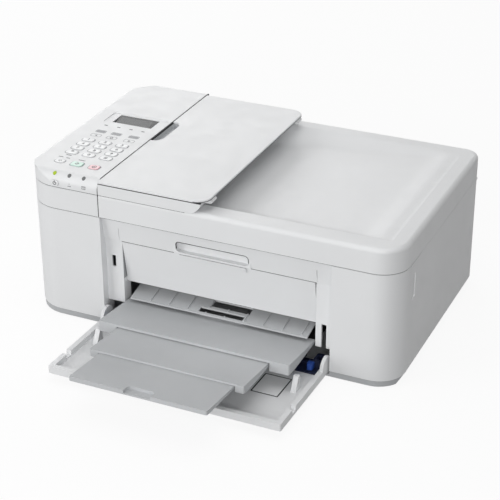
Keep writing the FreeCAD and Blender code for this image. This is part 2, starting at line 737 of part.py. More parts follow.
def output_extension():
    s = (-SLIDE_TRAVEL - EXTENSION_TRAVEL, -SLIDE_TRAVEL + EXTENSION_OVERLAP)
    low = EXTENSION_LOW
    body = stage_plate(EXTENSION_WIDTH, s, EXTENSION_TOP, EXTENSION_PLATE, EXTENSION_SKIRT, 2.4, 1)
    half = EXTENSION_NOTCH_WIDTH / 2
    y = (s[0] - 1, s[0] + EXTENSION_NOTCH_DEPTH)
    notch = rounded((-half, half), y, (low - 1, EXTENSION_TOP + 1), (0, 0, 4, 4))
    lip = block((-half, half), (s[0], s[0] + EXTENSION_NOTCH_DEPTH), (low, low + EXTENSION_LIP))
    rim = block((-half - 2, half + 2), (s[0] + 0.5, y[1] + EXTENSION_PLATE), (low, EXTENSION_TOP))
    return on_stage(joined(body, rim).cut(notch).fuse(lip).removeSplitter())


# Front paper tray and its two guides, drawn level and then tilted
def on_tray(shape):
    shape.rotate(vec(0, 0, 0), vec(1, 0, 0), -TRAY_RISE)
    shape.translate(vec(0, FRONT + TRAY_INSIDE, FLOOR_TOP + TRAY_LIFT))
    return shape


def front_tray():
    half = TRAY_WIDTH / 2
    length = TRAY_REACH + TRAY_INSIDE
    corners = (TRAY_CORNER, TRAY_CORNER, 0, 0)
    body = rounded((-half, half), (-length, 0), (0, TRAY_RIM_HEIGHT), corners)
    well_x = (-half + TRAY_RIM_WIDTH, half - TRAY_RIM_WIDTH)
    body = body.cut(
        rounded(well_x, (-length + TRAY_RIM_WIDTH, 1), (TRAY_FLOOR, TRAY_RIM_HEIGHT + 1), corners)
    )
    notch_y = -length + TRAY_NOTCH_FROM_FRONT
    notch = block(
        (half - TRAY_RIM_WIDTH - 1, half + 1),
        (notch_y - TRAY_NOTCH_WIDTH / 2, notch_y + TRAY_NOTCH_WIDTH / 2),
        (TRAY_FLOOR + 1.5, TRAY_RIM_HEIGHT + 1),
    )
    post_y = -length + TRAY_POST_FROM_FRONT
    post_x = STAGE_WIDTH / 2 + 2.5
    post = profile_x(
        [
            (post_y, TRAY_FLOOR - 0.5),
            (post_y + 9, TRAY_FLOOR + TRAY_POST_HEIGHT),
            (post_y + 13, TRAY_FLOOR + TRAY_POST_HEIGHT),
            (post_y + 15, TRAY_FLOOR - 0.5),
        ],
        (post_x, post_x + TRAY_POST_WIDTH),
    )
    ear_x = (half - TRAY_EAR_THICKNESS, half)
    ear = rod_x(ear_x, TRAY_EAR_Y, TRAY_RIM_HEIGHT, TRAY_EAR_RADIUS)
    ear_z = (TRAY_RIM_HEIGHT - 1, 2 * TRAY_RIM_HEIGHT + TRAY_EAR_RADIUS)
    ear = ear.common(block(ear_x, (-length, 0), ear_z))
    return on_tray(joined(body.cut(group(both_sides(notch))), *both_sides(post), *both_sides(ear)))


def paper_guide(side):
    low = TRAY_FLOOR + GUIDE_REST_GAP
    fence_x = PAPER_WIDTH / 2 + 0.5
    base_end = TRAY_WIDTH / 2 - TRAY_RIM_WIDTH - 1
    y = (-GUIDE_CENTRE - GUIDE_LENGTH / 2, -GUIDE_CENTRE + GUIDE_LENGTH / 2)
    base = block((fence_x, base_end), (y[0] + 10, y[1] - 8), (low, low + GUIDE_BASE_THICKNESS))
    fence = rounded((fence_x, fence_x + 2), y, (low, low + GUIDE_FENCE_HEIGHT), 0.8)
    hand_x = (base_end - 2 - GUIDE_HANDLE_WIDTH, base_end - 2)
    handle = rounded(hand_x, (y[0] + 22, y[1] - 8), (low, low + GUIDE_HANDLE_HEIGHT), 2.5)
    grip = rounded((hand_x[0] + 3, hand_x[1] + 3), (y[0] + 26, y[1] - 12), (low + 5, low + 30), 2)
    handle = handle.cut(grip)
    lever_x = (hand_x[0] - GUIDE_LEVER + 3, hand_x[0] + 3)
    lever = rounded(lever_x, (y[0] + 14, y[0] + 24), (low, low + GUIDE_HANDLE_HEIGHT - 1), 2)
    brace = block((fence_x, hand_x[0] + 2), (y[0] + 28, y[0] + 30), (low, low + GUIDE_FENCE_HEIGHT - 2.5))
    guide = joined(base, fence, handle, lever, brace)
    if side < 0:
        guide = guide.mirror(vec(0, 0, 0), vec(1, 0, 0))
    return on_tray(guide)


# Scanner
GLASS_LEFT = PANEL_RIGHT + GLASS_FROM_PANEL
GLASS_FRONT = MIDDLE - GLASS_DEPTH / 2
STRIP_LEFT = GLASS_LEFT - GLASS_STRIP - 8


def glass_window(grow, z):
    main = block(
        (GLASS_LEFT - grow, GLASS_LEFT + GLASS_LENGTH + grow),
        (GLASS_FRONT - grow, GLASS_FRONT + GLASS_DEPTH + grow),
        z,
    )
    strip = block(
        (STRIP_LEFT - grow, STRIP_LEFT + GLASS_STRIP + grow),
        (GLASS_FRONT - grow, GLASS_FRONT + GLASS_DEPTH + grow),
        z,
    )
    return [main, strip]


def scan_rod_axis():
    return MIDDLE + 20, BED_BOTTOM + BED_WALL + SCAN_ROD_RADIUS + 1.5


def scanner_bed():
    top = BODY_TOP
    plate = case_prism(WALL, (top - BED_WALL - GLASS_THICKNESS, top))
    front_edge = FRONT + setback_at(top - BED_WALL - GLASS_THICKNESS) + WALL
    plate = plate.cut(block((-BAY, BAY), (FRONT - 1, front_edge), (0, top + 1)))
    columns = both_sides(block((BAY - 1, BAY + WALL), (FRONT - 1, FRONT + COLUMN_RETURN), (0, top + 1)))
    plate = plate.cut(group(columns)).cut(hinge_relief((LEFT, RIGHT)))
    x = (PANEL_RIGHT + 4, GLASS_LEFT + GLASS_LENGTH + 12)
    y = (GLASS_FRONT - 14, GLASS_FRONT + GLASS_DEPTH + 14)
    well_top = top - BED_WALL - GLASS_THICKNESS
    well = block(x, y, (BED_BOTTOM, well_top + 0.5))
    inner = block(
        (x[0] + BED_WALL, x[1] - BED_WALL),
        (y[0] + BED_WALL, y[1] - BED_WALL),
        (BED_BOTTOM + BED_WALL, well_top + 1),
    )
    bed = joined(plate, well)
    views = glass_window(-2.5, (well_top - 1, top + 1))
    seats = glass_window(0, (top - GLASS_THICKNESS, top + 1))
    for window in views + seats:
        bed = bed.cut(window)
    bed = bed.cut(inner.common(block((x[0], x[1]), (y[0], y[1]), (BED_BOTTOM, well_top))))
    rod_y0, rod_z0 = scan_rod_axis()
    rod = rod_x((x[0] + 1, x[1] - 1), rod_y0, rod_z0, SCAN_ROD_RADIUS)
    return joined(bed, rod, *hinge_brackets())


HINGE_STARTS = (LID_LEFT + 40, RIGHT - 80)


def hinge_brackets():
    """Fixed knuckles and pins that carry the lid, on lugs of the scanner bed."""
    pieces = []
    for x in HINGE_STARTS:
        pieces.append(rod_x((x - 10, x + HINGE_LENGTH + 10), HINGE_Y, HINGE_Z, HINGE_PIN_RADIUS))
        for x0 in (x - 10.3, x + HINGE_LENGTH + 0.3):
            x_range = (x0, x0 + 10)
            pieces.append(rod_x(x_range, HINGE_Y, HINGE_Z, HINGE_RADIUS))
            lug_z = (BODY_TOP - BED_WALL - GLASS_THICKNESS, BODY_TOP - 0.5)
            pieces.append(block(x_range, (HINGE_Y - HINGE_RADIUS - 2, HINGE_Y - 0.5), lug_z))
    return pieces


def scan_glass():
    return group(glass_window(-0.05, (BODY_TOP - GLASS_THICKNESS, BODY_TOP)))


def scan_head():
    x0 = GLASS_LEFT - 22
    y = (GLASS_FRONT - 6, GLASS_FRONT + GLASS_DEPTH + 6)
    z_low = BED_BOTTOM + BED_WALL + 2.5
    z_top = BODY_TOP - BED_WALL - GLASS_THICKNESS - 1.5
    body = block((x0, x0 + SCAN_HEAD_WIDTH), y, (z_low + 4, z_top))
    slot = block((x0 + 7, x0 + 13), (y[0] + 4, y[1] - 4), (z_top - 2, z_top + 1))
    rod_y0, rod_z0 = scan_rod_axis()
    sleeve = block(
        (x0, x0 + SCAN_HEAD_WIDTH), (rod_y0 - 7, rod_y0 + 7), (BED_BOTTOM + BED_WALL + 0.6, z_low + 6)
    )
    bore = rod_x((x0 - 1, x0 + SCAN_HEAD_WIDTH + 1), rod_y0, rod_z0, SCAN_ROD_RADIUS + PIVOT_CLEARANCE)
    return joined(body.cut(slot), sleeve).cut(bore)


# Operation panel
def panel_plan(inset, z):
    corner = LEFT_CORNER_RADIUS - inset
    radii = (corner, 0, 0, corner)
    return rounded((LEFT + inset, PANEL_RIGHT - inset), (FRONT + inset, BACK - inset), z, radii)


def shadow_line(z):
    """A narrow groove round the outside of the panel."""
    return panel_plan(-1, z).cut(panel_plan(GROOVE_DEPTH, z))


def panel_body():
    z = (BODY_TOP, PANEL_BODY_TOP)
    shell = panel_plan(0, z).cut(panel_plan(WALL, (z[0] + WALL, z[1] + 1)))
    shell = shell.cut(shadow_line((z[0] - 1, z[0] + SEAM))).cut(shadow_line((z[1] - SEAM, z[1] + 1)))
    ledges = []
    for share in LEDGE_PLACES:
        y = FRONT + share * CASE_DEPTH
        ledge_z = (z[0] + WALL - 0.5, board_top() - BOARD_THICKNESS)
        ledges.append(block((LEFT + 10, PANEL_RIGHT - 6), (y, y + 3), ledge_z))
    return joined(shell, *ledges)


def board_top():
    return PANEL_BODY_TOP - 1.4


def rounded_ends(low, high, bottom, radii, place):
    """A face with an upright start and end and two rounded upper corners."""
    top = PANEL_TOP + radii[2]
    first, last = radii[0] + radii[2], radii[1] + radii[2]
    bend = math.sqrt(0.5)
    points = [
        (low, bottom),
        (low, top - first),
        (low + first * (1 - bend), top - first * (1 - bend)),
        (low + first, top),
        (high - last, top),
        (high - last * (1 - bend), top - last * (1 - bend)),
        (high, top - last),
        (high, bottom),
    ]
    p = [place(a, z) for a, z in points]
    edges = [
        Part.makeLine(p[0], p[1]),
        Part.Arc(p[1], p[2], p[3]).toShape(),
        Part.makeLine(p[3], p[4]),
        Part.Arc(p[4], p[5], p[6]).toShape(),
        Part.makeLine(p[6], p[7]),
        Part.makeLine(p[7], p[0]),
    ]
    return Part.Face(Part.Wire(edges))


def under_skin(x, bottom, lift):
    """The space below the panel's skin seen from the side, moved by a lift."""
    radii = (PANEL_FRONT_ROUND, PANEL_SIDE_ROUND, lift)
    face = rounded_ends(FRONT - lift, BACK + lift, bottom, radii, lambda y, z: vec(x[0], y, z))
    return face.extrude(vec(x[1] - x[0], 0, 0))


def between_sides(bottom):
    """The same space seen from the front, with a soft left edge."""
    radii = (PANEL_SIDE_ROUND, PANEL_SEAM_ROUND, 0)
    face = rounded_ends(LEFT, PANEL_RIGHT, bottom, radii, lambda x, z: vec(x, FRONT - 1, z))
    return face.extrude(vec(0, CASE_DEPTH + 2, 0))


def key_places():
    """Name, centre x, distance behind the front, width and depth of each key."""
    middle = LEFT + KEY_MIDDLE_COLUMN
    places = []
    for i, name in enumerate(("star", "0", "hash", "7", "8", "9", "4", "5", "6", "1", "2", "3")):
        x = middle + (i % 3 - 1) * KEY_PITCH_X
        places.append((name, x, KEY_FIRST_ROW + (i // 3) * KEY_PITCH_Y, KEY_WIDTH, KEY_DEPTH))
    places.append(("colour", middle - KEY_PITCH_X, START_ROW, COLOUR_WIDTH, COLOUR_DEPTH))
    places.append(("start", middle, START_ROW, START_WIDTH, START_DEPTH))
    places.append(("stop", middle + KEY_PITCH_X, START_ROW, START_WIDTH - 2, START_DEPTH - 1))
    return places


def key_prism(place, grow, z):
    name, x, setback, width, depth = place
    half_x = width / 2 + grow
    half_y = depth / 2 + grow
    y = FRONT + setback
    return rounded((x - half_x, x + half_x), (y - half_y, y + half_y), z, KEY_CORNER + grow)


def key(place):
    cap = key_prism(place, 0, (board_top() + KEY_TRAVEL + KEY_GAP, PANEL_TOP + KEY_PROUD))
    rim = [e for e in cap.Edges if e.BoundBox.ZMin > PANEL_TOP]
    return cap.makeFillet(KEY_PROUD * 0.6, rim)


def power_prism(grow, y):
    half_x = POWER_WIDTH / 2 + grow
    half_z = POWER_HEIGHT / 2 + grow
    prism = rounded((-half_x, half_x), (-half_z, half_z), (0, y[1] - y[0]), KEY_CORNER - 0.6 + grow)
    prism.rotate(vec(0, 0, 0), vec(1, 0, 0), 90)
    prism.translate(vec(LEFT + POWER_FROM_LEFT, y[1], POWER_Z))
    return prism


def key_power():
    x = LEFT + POWER_FROM_LEFT
    cap = power_prism(0, (FRONT - 4, FRONT + POWER_LENGTH))
    cap = cap.common(under_skin((x - POWER_WIDTH, x + POWER_WIDTH), PANEL_BODY_TOP, KEY_PROUD))
    return cap.common(panel_plan(-KEY_PROUD, (PANEL_BODY_TOP, PANEL_TOP)))


def lamp_places():
    return [(LEFT + offset, FRONT + LAMP_ROW) for offset in LAMP_OFFSETS]


def display_box(grow, z):
    x = LEFT + DISPLAY_FROM_LEFT
    y = FRONT + DISPLAY_FRONT
    return block((x - grow, x + DISPLAY_WIDTH + grow), (y - grow, y + DISPLAY_DEPTH + grow), z)


def display_recess():
    """A shallow trough with soft corners that the display lies in."""
    x = (LEFT + RECESS_FROM_LEFT, PANEL_RIGHT - RECESS_FROM_RIGHT)
    low = FRONT + DISPLAY_FRONT - RECESS_MARGIN
    y = (low, low + DISPLAY_DEPTH + 2 * RECESS_MARGIN)
    return rounded(x, y, (PANEL_TOP - RECESS_SINK, PANEL_TOP + 1), 3)


def panel_face():
    bottom = PANEL_BODY_TOP
    x = (LEFT - 1, PANEL_RIGHT + 1)
    face = panel_plan(0, (bottom, PANEL_TOP + 5)).common(under_skin(x, bottom - 1, 0))
    face = face.common(between_sides(bottom - 1))
    hollow = panel_plan(PANEL_SKIN, (bottom - 1, PANEL_TOP + 5))
    face = face.cut(hollow.common(under_skin(x, bottom - 2, -PANEL_SKIN)))
    z = (bottom - 1, PANEL_TOP + 5)
    cuts = [key_prism(place, KEY_GAP, z) for place in key_places()]
    lamp_z = (PANEL_TOP - LAMP_HEIGHT, PANEL_TOP + 5)
    cuts += [rod_z(x0, y0, lamp_z, LAMP_RADIUS) for x0, y0 in lamp_places()]
    cuts.append(display_box(0, z))
    cuts.append(display_recess())
    power_end = FRONT + POWER_LENGTH + KEY_TRAVEL + KEY_GAP
    cuts.append(power_prism(KEY_GAP, (FRONT - 4, power_end)))
    return face.cut(group(cuts))


def panel_board():
    z = (board_top() - BOARD_THICKNESS, board_top())
    behind = block((LEFT, RIGHT), (BACK - 25, BACK), (z[0] - 1, z[1] + 1))
    return panel_plan(2 * WALL, z).cut(behind)


def lcd_module():
    """A dark display whose front edge is sunk below the panel."""
    x = (LEFT + DISPLAY_FROM_LEFT, LEFT + DISPLAY_FROM_LEFT + DISPLAY_WIDTH)
    y = (FRONT + DISPLAY_FRONT, FRONT + DISPLAY_FRONT + DISPLAY_DEPTH)
    outline = [
        (y[0], board_top()),
        (y[0], PANEL_TOP - DISPLAY_SINK),
        (y[1], PANEL_TOP - RECESS_SINK),
        (y[1], board_top()),
    ]
    return profile_x(outline, x)


def lamp_lenses():
    lenses = []
    for x, y in lamp_places():
        stem = rod_z(x, y, (PANEL_TOP - LAMP_HEIGHT, PANEL_TOP + 2), LAMP_RADIUS)
        lenses.append(stem.common(under_skin((x - 3, x + 3), board_top() - 1, LAMP_PROUD)))
    return group(lenses)


# Lid, feeder and document tray
def lid_plan(inset, z):
    radii = (0, CORNER_RADIUS - inset, BACK_CORNER_RADIUS - inset, 0)
    return rounded((LID_LEFT + inset, RIGHT - inset), (FRONT + inset, BACK - inset), z, radii)


def feeder_section(y, grow=0.0):
    """The feeder's end outline: square on the left, a rounded nose on the right."""
    nose_x = FEEDER_RIGHT - FEEDER_NOSE
    centre_z = FEEDER_BOTTOM + FEEDER_NOSE_RADIUS
    radius = FEEDER_NOSE_RADIUS + grow
    deck = FEEDER_DECK + grow
    low = FEEDER_BOTTOM - grow
    angle = math.asin((centre_z - deck) / radius)
    tip_x = nose_x + radius * math.cos(angle)
    half = (math.pi / 2 + angle) / 2
    middle = vec(nose_x + radius * math.cos(half), y[0], centre_z - radius * math.sin(half))
    left = LID_LEFT - grow
    corners = [vec(tip_x, y[0], deck), vec(left, y[0], deck), vec(left, y[0], low), vec(nose_x, y[0], low)]
    edges = [Part.makeLine(corners[i], corners[i + 1]) for i in range(3)]
    edges.append(Part.Arc(corners[3], middle, corners[0]).toShape())
    return Part.Face(Part.Wire(edges)).extrude(vec(0, y[1] - y[0], 0))


def ease(share, steep):
    """From 0 at the rim to 1 on the floor, level there; steep is the slope at the rim."""
    if share <= 0:
        return steep * share
    if share >= 1:
        return 1.0
    return steep * share * (1 - share) ** 2 + 3 * share**2 - 2 * share**3


def basin_depth(x, y):
    """How far the dish lies below the rim; negative outside it."""
    start = FEEDER_RIGHT - FEEDER_EXIT_DEPTH
    end = RIGHT - BASIN_RIGHT_MARGIN
    share = (x - start) / (end - BASIN_RIGHT_RUN / 2 - start)
    depth = BASIN_DEPTH - (BASIN_DEPTH - BASIN_END_DEPTH) * share**BASIN_BEND
    front = ease((y - FRONT - BASIN_FRONT_MARGIN) / (BASIN_FRONT_RUN * depth), 2.0)
    back_run = BASIN_BACK_RUN * depth + BASIN_BACK_EASE
    back = ease((BACK - BASIN_BACK_MARGIN - y) / back_run, 0.7)
    right = ease((end - x) / BASIN_RIGHT_RUN, 0.7)
    if min(front, back, right) <= 0:
        return depth * min(front, back, right)
    return depth * front * back * right


def basin():
    """The dished floor that catches documents, deepest under the feeder."""
    start = FEEDER_RIGHT - FEEDER_EXIT_DEPTH
    width = RIGHT - BASIN_RIGHT_MARGIN + BASIN_OVERRUN - start
    first = FRONT + BASIN_FRONT_MARGIN - BASIN_OVERRUN
    length = BACK - BASIN_BACK_MARGIN + BASIN_OVERRUN - first
    rows = []
    for i in range(BASIN_COLUMNS + 1):
        x = start + width * i / BASIN_COLUMNS
        row = []
        for j in range(BASIN_ROWS + 1):
            y = first + length * j / BASIN_ROWS
            row.append(vec(x, y, LID_RIM - basin_depth(x, y)))
        rows.append(row)
    dish = Part.BSplineSurface()
    dish.interpolate(rows)
    return dish.toShape().extrude(vec(0, 0, 2 * BASIN_DEPTH))


def lid_shell():
    lid = lid_plan(0, (LID_BOTTOM, LID_RIM))
    rim = [e for e in lid.Edges if e.BoundBox.ZMin > LID_RIM - EPS and e.BoundBox.XMax > LID_LEFT + 1]
    lid = lid.makeFillet(LID_EDGE_ROUND, rim)
    lid = lid.cut(lid_plan(LID_WALL, (LID_BOTTOM - 1, LID_CEILING)))
    seat = feeder_section((FRONT - 1, FEEDER_BACK + SEAM), SEAM / 2)
    seat.translate(vec(0, 0, SEAM / 2))
    lid = lid.cut(seat).cut(basin())
    knuckles = []
    pin_holes = []
    for x in HINGE_STARTS:
        x_range = (x, x + HINGE_LENGTH)
        clear = (x - 11, x + HINGE_LENGTH + 11)
        lid = lid.cut(block(clear, (HINGE_Y - HINGE_RADIUS - 3, BACK + 1), (LID_BOTTOM - 1, HINGE_Z + 4)))
        web = block(x_range, (HINGE_Y - 1, BACK - 0.2), (HINGE_Z, HINGE_Z + 6))
        knuckles += [rod_x(x_range, HINGE_Y, HINGE_Z, HINGE_RADIUS), web]
        radius = HINGE_PIN_RADIUS + PIVOT_CLEARANCE
        pin_holes.append(rod_x((x - 1, x + HINGE_LENGTH + 1), HINGE_Y, HINGE_Z, radius))
    return joined(lid, *knuckles).cut(group(pin_holes))


def document_pad():
    x = (LID_LEFT + 12, RIGHT - 16)
    y = (FRONT + 16, BACK - 16)
    foam = rounded(x, y, (LID_BOTTOM + 0.1, LID_BOTTOM + 4), 6)
    carrier = rounded(x, y, (LID_BOTTOM + 4, LID_CEILING), 6)
    inside = rounded(
        (x[0] + 2, x[1] - 2), (y[0] + 2, y[1] - 2), (LID_BOTTOM + 6, LID_CEILING + 1), 4
    )
    return group([foam, carrier.cut(inside)])


FEEDER_ROLLER_X = LID_LEFT + 24
FEEDER_ROLLER_Z = FEEDER_RECESS_FLOOR + 0.8
FEEDER_ROLLER_RADIUS = 5.0
FEEDER_ROLLER_HALF = 34.0
FEEDER_SHAFT_RADIUS = 2.0
DOCUMENT_AXIS_X = FEEDER_RIGHT - 1.5
DOCUMENT_AXIS_Z = FEEDER_DECK - DOCUMENT_EAR_RADIUS


def finger_room(low):
    """The hollow at the tray's left edge for a fingertip, above a height."""
    x = (LID_LEFT - FINGER_NOTCH_DEPTH, LID_LEFT + FINGER_NOTCH_DEPTH)
    start = FRONT + FINGER_NOTCH_FROM_FRONT
    y = (start, start + FINGER_NOTCH_LENGTH)
    return rounded(x, y, (low, DOCUMENT_TRAY_TOP + 1), FINGER_NOTCH_DEPTH - 1)


def feeder_body():
    body = feeder_section((FRONT, FEEDER_BACK)).cut(finger_room(FEEDER_DECK - FINGER_POCKET))
    line_x = (LID_LEFT - 1, FEEDER_RIGHT)
    line_y = (FRONT - 1, FRONT + GROOVE_DEPTH)
    body = body.cut(block(line_x, line_y, (FEEDER_BOTTOM - 1, FEEDER_BOTTOM + SEAM)))
    recess_x = (LID_LEFT + FEEDER_LEFT_WALL, FEEDER_RIGHT - FEEDER_NOSE + 4)
    recess_y = (FRONT + FEEDER_END_WALL, BACK - FEEDER_END_WALL)
    body = body.cut(block(recess_x, recess_y, (FEEDER_RECESS_FLOOR, FEEDER_DECK + 1)))
    exit_y = (FRONT + BASIN_FRONT_MARGIN + 2, BACK - BASIN_BACK_FLOOR - 2)
    exit_x = (FEEDER_RIGHT - FEEDER_EXIT_DEPTH + 2, FEEDER_RIGHT + 1)
    body = body.cut(block(exit_x, exit_y, (FEEDER_BOTTOM - 1, FEEDER_RECESS_FLOOR - FEEDER_FLOOR)))
    trough = block(
        (FEEDER_ROLLER_X - 6.5, FEEDER_ROLLER_X + 6.5),
        (MIDDLE - FEEDER_ROLLER_HALF - 1, MIDDLE + FEEDER_ROLLER_HALF + 1),
        (FEEDER_ROLLER_Z - FEEDER_ROLLER_RADIUS - 0.6, FEEDER_DECK),
    )
    bearing = rod_y(
        FEEDER_ROLLER_X,
        (MIDDLE - FEEDER_ROLLER_HALF - 12, MIDDLE + FEEDER_ROLLER_HALF + 12),
        FEEDER_ROLLER_Z,
        FEEDER_SHAFT_RADIUS + PIVOT_CLEARANCE,
    )
    blocks = []
    for y in (MIDDLE - FEEDER_ROLLER_HALF - 10, MIDDLE + FEEDER_ROLLER_HALF + 2):
        z = (FEEDER_RECESS_FLOOR - 1, FEEDER_ROLLER_Z + 4)
        blocks.append(block((FEEDER_ROLLER_X - 5, FEEDER_ROLLER_X + 5), (y, y + 8), z))
    body = joined(body.cut(trough), *blocks, *tray_ears())
    return body.cut(bearing)


def ear_ranges():
    """Where the document tray's ears stand, at the front and back of the feeder."""
    near, far = FRONT + DOCUMENT_EAR_INSET, FEEDER_BACK - DOCUMENT_EAR_INSET
    return ((near, near + DOCUMENT_EAR_WIDTH, 1), (far - DOCUMENT_EAR_WIDTH, far, -1))


def tray_ears():
    pieces = []
    for y0, y1, inward in ear_ranges():
        pin_y = (y1 - 1, y1 + 8) if inward > 0 else (y0 - 8, y0 + 1)
        arm_x = (FEEDER_RIGHT - 14, DOCUMENT_AXIS_X)
        arm_z = (DOCUMENT_AXIS_Z - DOCUMENT_EAR_RADIUS, FEEDER_DECK)
        pieces.append(block(arm_x, (y0, y1), arm_z))
        pieces.append(rod_y(DOCUMENT_AXIS_X, (y0, y1), DOCUMENT_AXIS_Z, DOCUMENT_EAR_RADIUS))
        pieces.append(rod_y(DOCUMENT_AXIS_X, pin_y, DOCUMENT_AXIS_Z, DOCUMENT_PIN_RADIUS))
    return pieces


def feeder_roller():
    y = (MIDDLE - FEEDER_ROLLER_HALF, MIDDLE + FEEDER_ROLLER_HALF)
    tyre = rod_y(FEEDER_ROLLER_X, y, FEEDER_ROLLER_Z, FEEDER_ROLLER_RADIUS)
    shaft = rod_y(FEEDER_ROLLER_X, (y[0] - 9.5, y[1] + 9.5), FEEDER_ROLLER_Z, FEEDER_SHAFT_RADIUS)
    return joined(tyre, shaft)


def document_tray():
    low = DOCUMENT_TRAY_LOW
    x = (LID_LEFT, DOCUMENT_AXIS_X + 1)
    corner = DOCUMENT_TRAY_CORNER
    tray = rounded(x, (FRONT, FEEDER_BACK), (low, DOCUMENT_TRAY_TOP), (2, corner, corner, 2))
    rim = 4 * WALL
    hollow = rounded(
        (x[0] + rim + FINGER_NOTCH_DEPTH, x[1] - 2 * rim),
        (FRONT + rim, FEEDER_BACK - rim),
        (low - 1, DOCUMENT_TRAY_TOP - DOCUMENT_TRAY_SKIN),
        3,
    )
    tray = tray.cut(hollow)
    upper = [e for e in tray.Edges if e.BoundBox.ZMin > DOCUMENT_TRAY_TOP - EPS]
    tray = tray.makeChamfer(0.6, upper)
    tray = tray.cut(finger_room(low - 1))
    knuckles = []
    for y0, y1, inward in ear_ranges():
        near = y1 + 0.4 if inward > 0 else y0 - 0.4 - DOCUMENT_KNUCKLE_WIDTH
        knuckle_y = (near, near + DOCUMENT_KNUCKLE_WIDTH)
        knuckles.append(rod_y(DOCUMENT_AXIS_X, knuckle_y, DOCUMENT_AXIS_Z, DOCUMENT_KNUCKLE_RADIUS))
        web_x = (DOCUMENT_AXIS_X - 1.8, x[1])
        knuckles.append(block(web_x, knuckle_y, (DOCUMENT_AXIS_Z, low + 0.4)))
    tray = joined(tray, *knuckles)
    for y0, y1, inward in ear_ranges():
        bore_y = (y1 - 1, y1 + 9) if inward > 0 else (y0 - 9, y0 + 1)
        radius = DOCUMENT_PIN_RADIUS + PIVOT_CLEARANCE
        tray = tray.cut(rod_y(DOCUMENT_AXIS_X, bore_y, DOCUMENT_AXIS_Z, radius))
    return tray


def document_guide(side):
    """A low fence on a foot, kept against the side of the document stack."""
    low = FEEDER_RECESS_FLOOR + 0.3
    x = (LID_LEFT + 34, FEEDER_RIGHT - FEEDER_NOSE - 4)
    fence_y = MIDDLE + side * PAPER_WIDTH / 2
    fence = block(x, (fence_y - 1, fence_y + 1), (low, FEEDER_DECK - 0.3))
    foot_y = sorted((fence_y, fence_y + side * 12))
    foot = rounded((x[0] + 20, x[1] - 20), tuple(foot_y), (low, low + 1.6), 1)
    return joined(fence, foot)


# Print engine
def main_chassis():
    half = CHASSIS_HALF_WIDTH
    rail_y = FRONT + RAIL_SETBACK
    sheet = CHASSIS_SHEET
    web = block((-half, half), (rail_y, rail_y + sheet), (66, CHASSIS_TOP))
    flange_y = rail_y - RAIL_FLANGE
    flange_z = (CHASSIS_TOP - sheet, CHASSIS_TOP)
    flange = block((-half, half), (flange_y, rail_y + sheet), flange_z)
    lip_z = (CHASSIS_TOP - 7, CHASSIS_TOP)
    lip = block((-half, half), (flange_y, flange_y + sheet), lip_z)
    frame = [flange, lip]
    side = block(
        (half, half + sheet), (FRONT + CHASSIS_FRONT, FRONT + CHASSIS_BACK), (FLOOR_TOP, BED_BOTTOM)
    )
    window = rounded((FRONT + 175, FRONT + 222), (45, 100), (0, 10), 8)
    window.rotate(vec(0, 0, 0), vec(1, 1, 1), 120)
    window.translate(vec(half - 5, 0, 0))
    holes = [
        rod_x((half - 1, half + sheet + 1), FRONT + y, z, SHAFT_RADIUS + PIVOT_CLEARANCE)
        for y, z in ((FEED_AXIS, FEED_HEIGHT), (EJECT_AXIS, EJECT_HEIGHT), (PICK_AXIS, PICK_HEIGHT))
    ]
    frame += both_sides(side.cut(group(holes)).cut(window))
    shelf_y = (FRONT + BELT_SETBACK - 12, rail_y)
    shelf = block((half - 32, half), shelf_y, (BELT_HEIGHT - sheet - 1, BELT_HEIGHT - 1))
    return joined(web, *frame, *both_sides(shelf)).cut(group(both_sides(shaft_hole())))


def shaft_hole():
    x = CHASSIS_HALF_WIDTH - PULLEY_FROM_SIDE
    return rod_z(x, FRONT + BELT_SETBACK, (BELT_HEIGHT - 5, BELT_HEIGHT), 1.5)


def print_platen():
    low = PLATEN_TOP - PLATEN_THICKNESS
    y = (FRONT + PLATEN_FRONT, FRONT + PLATEN_BACK)
    x = (-CHASSIS_HALF_WIDTH, MAINTENANCE_LEFT)
    plate = block(x, y, (low, PLATEN_TOP))
    trough = block((-108, 108), (y[0] + 20, y[1] - 14), (PLATEN_TOP - 2, PLATEN_TOP + 1))
    ribs = []
    for i in range(PLATEN_RIB_COUNT):
        rib_x = (i - (PLATEN_RIB_COUNT - 1) / 2) * 15.0
        rib_z = (PLATEN_TOP - 2.5, PLATEN_TOP + PLATEN_RIB)
        ribs.append(block((rib_x - 0.8, rib_x + 0.8), (y[0] + 3, y[1] - 3), rib_z))
    gear_x = (-CHASSIS_HALF_WIDTH + 2, -CHASSIS_HALF_WIDTH + GEAR_WIDTH + 6)
    gear_room = rod_x(gear_x, FRONT + FEED_AXIS, FEED_HEIGHT, GEAR_RADIUS + 1)
    return joined(plate.cut(trough).cut(gear_room), *ribs, *tray_rails())


def tray_rails():
    """Rails below the platen that carry the output tray's edges."""
    inner = SLIDE_WIDTH / 2 + 6
    outer = STAGE_WIDTH / 2 - STAGE_PLATE - 1
    top = -STAGE_PLATE - 0.4
    start = STAGE_REACH + 2
    end = STAGE_REACH + STAGE_LENGTH + 12
    rail = on_stage(block((inner, outer), (start, end), (top - 2, top)))
    post_s = end - 4
    post_y = FRONT - STAGE_REACH + post_s * math.cos(STAGE_TILT)
    rail_z = STAGE_FRONT_TOP - post_s * math.sin(STAGE_TILT) + top - 1
    post_z = (rail_z - 1, PLATEN_TOP - PLATEN_THICKNESS + 0.5)
    post = block((inner, outer), (post_y - 3, post_y + 3), post_z)
    return both_sides(joined(rail, post))


def ramp_height(setback):
    part = (setback - RAMP_FRONT) / (RAMP_BACK - RAMP_FRONT)
    return RAMP_FRONT_TOP + part * (RAMP_BACK_TOP - RAMP_FRONT_TOP)


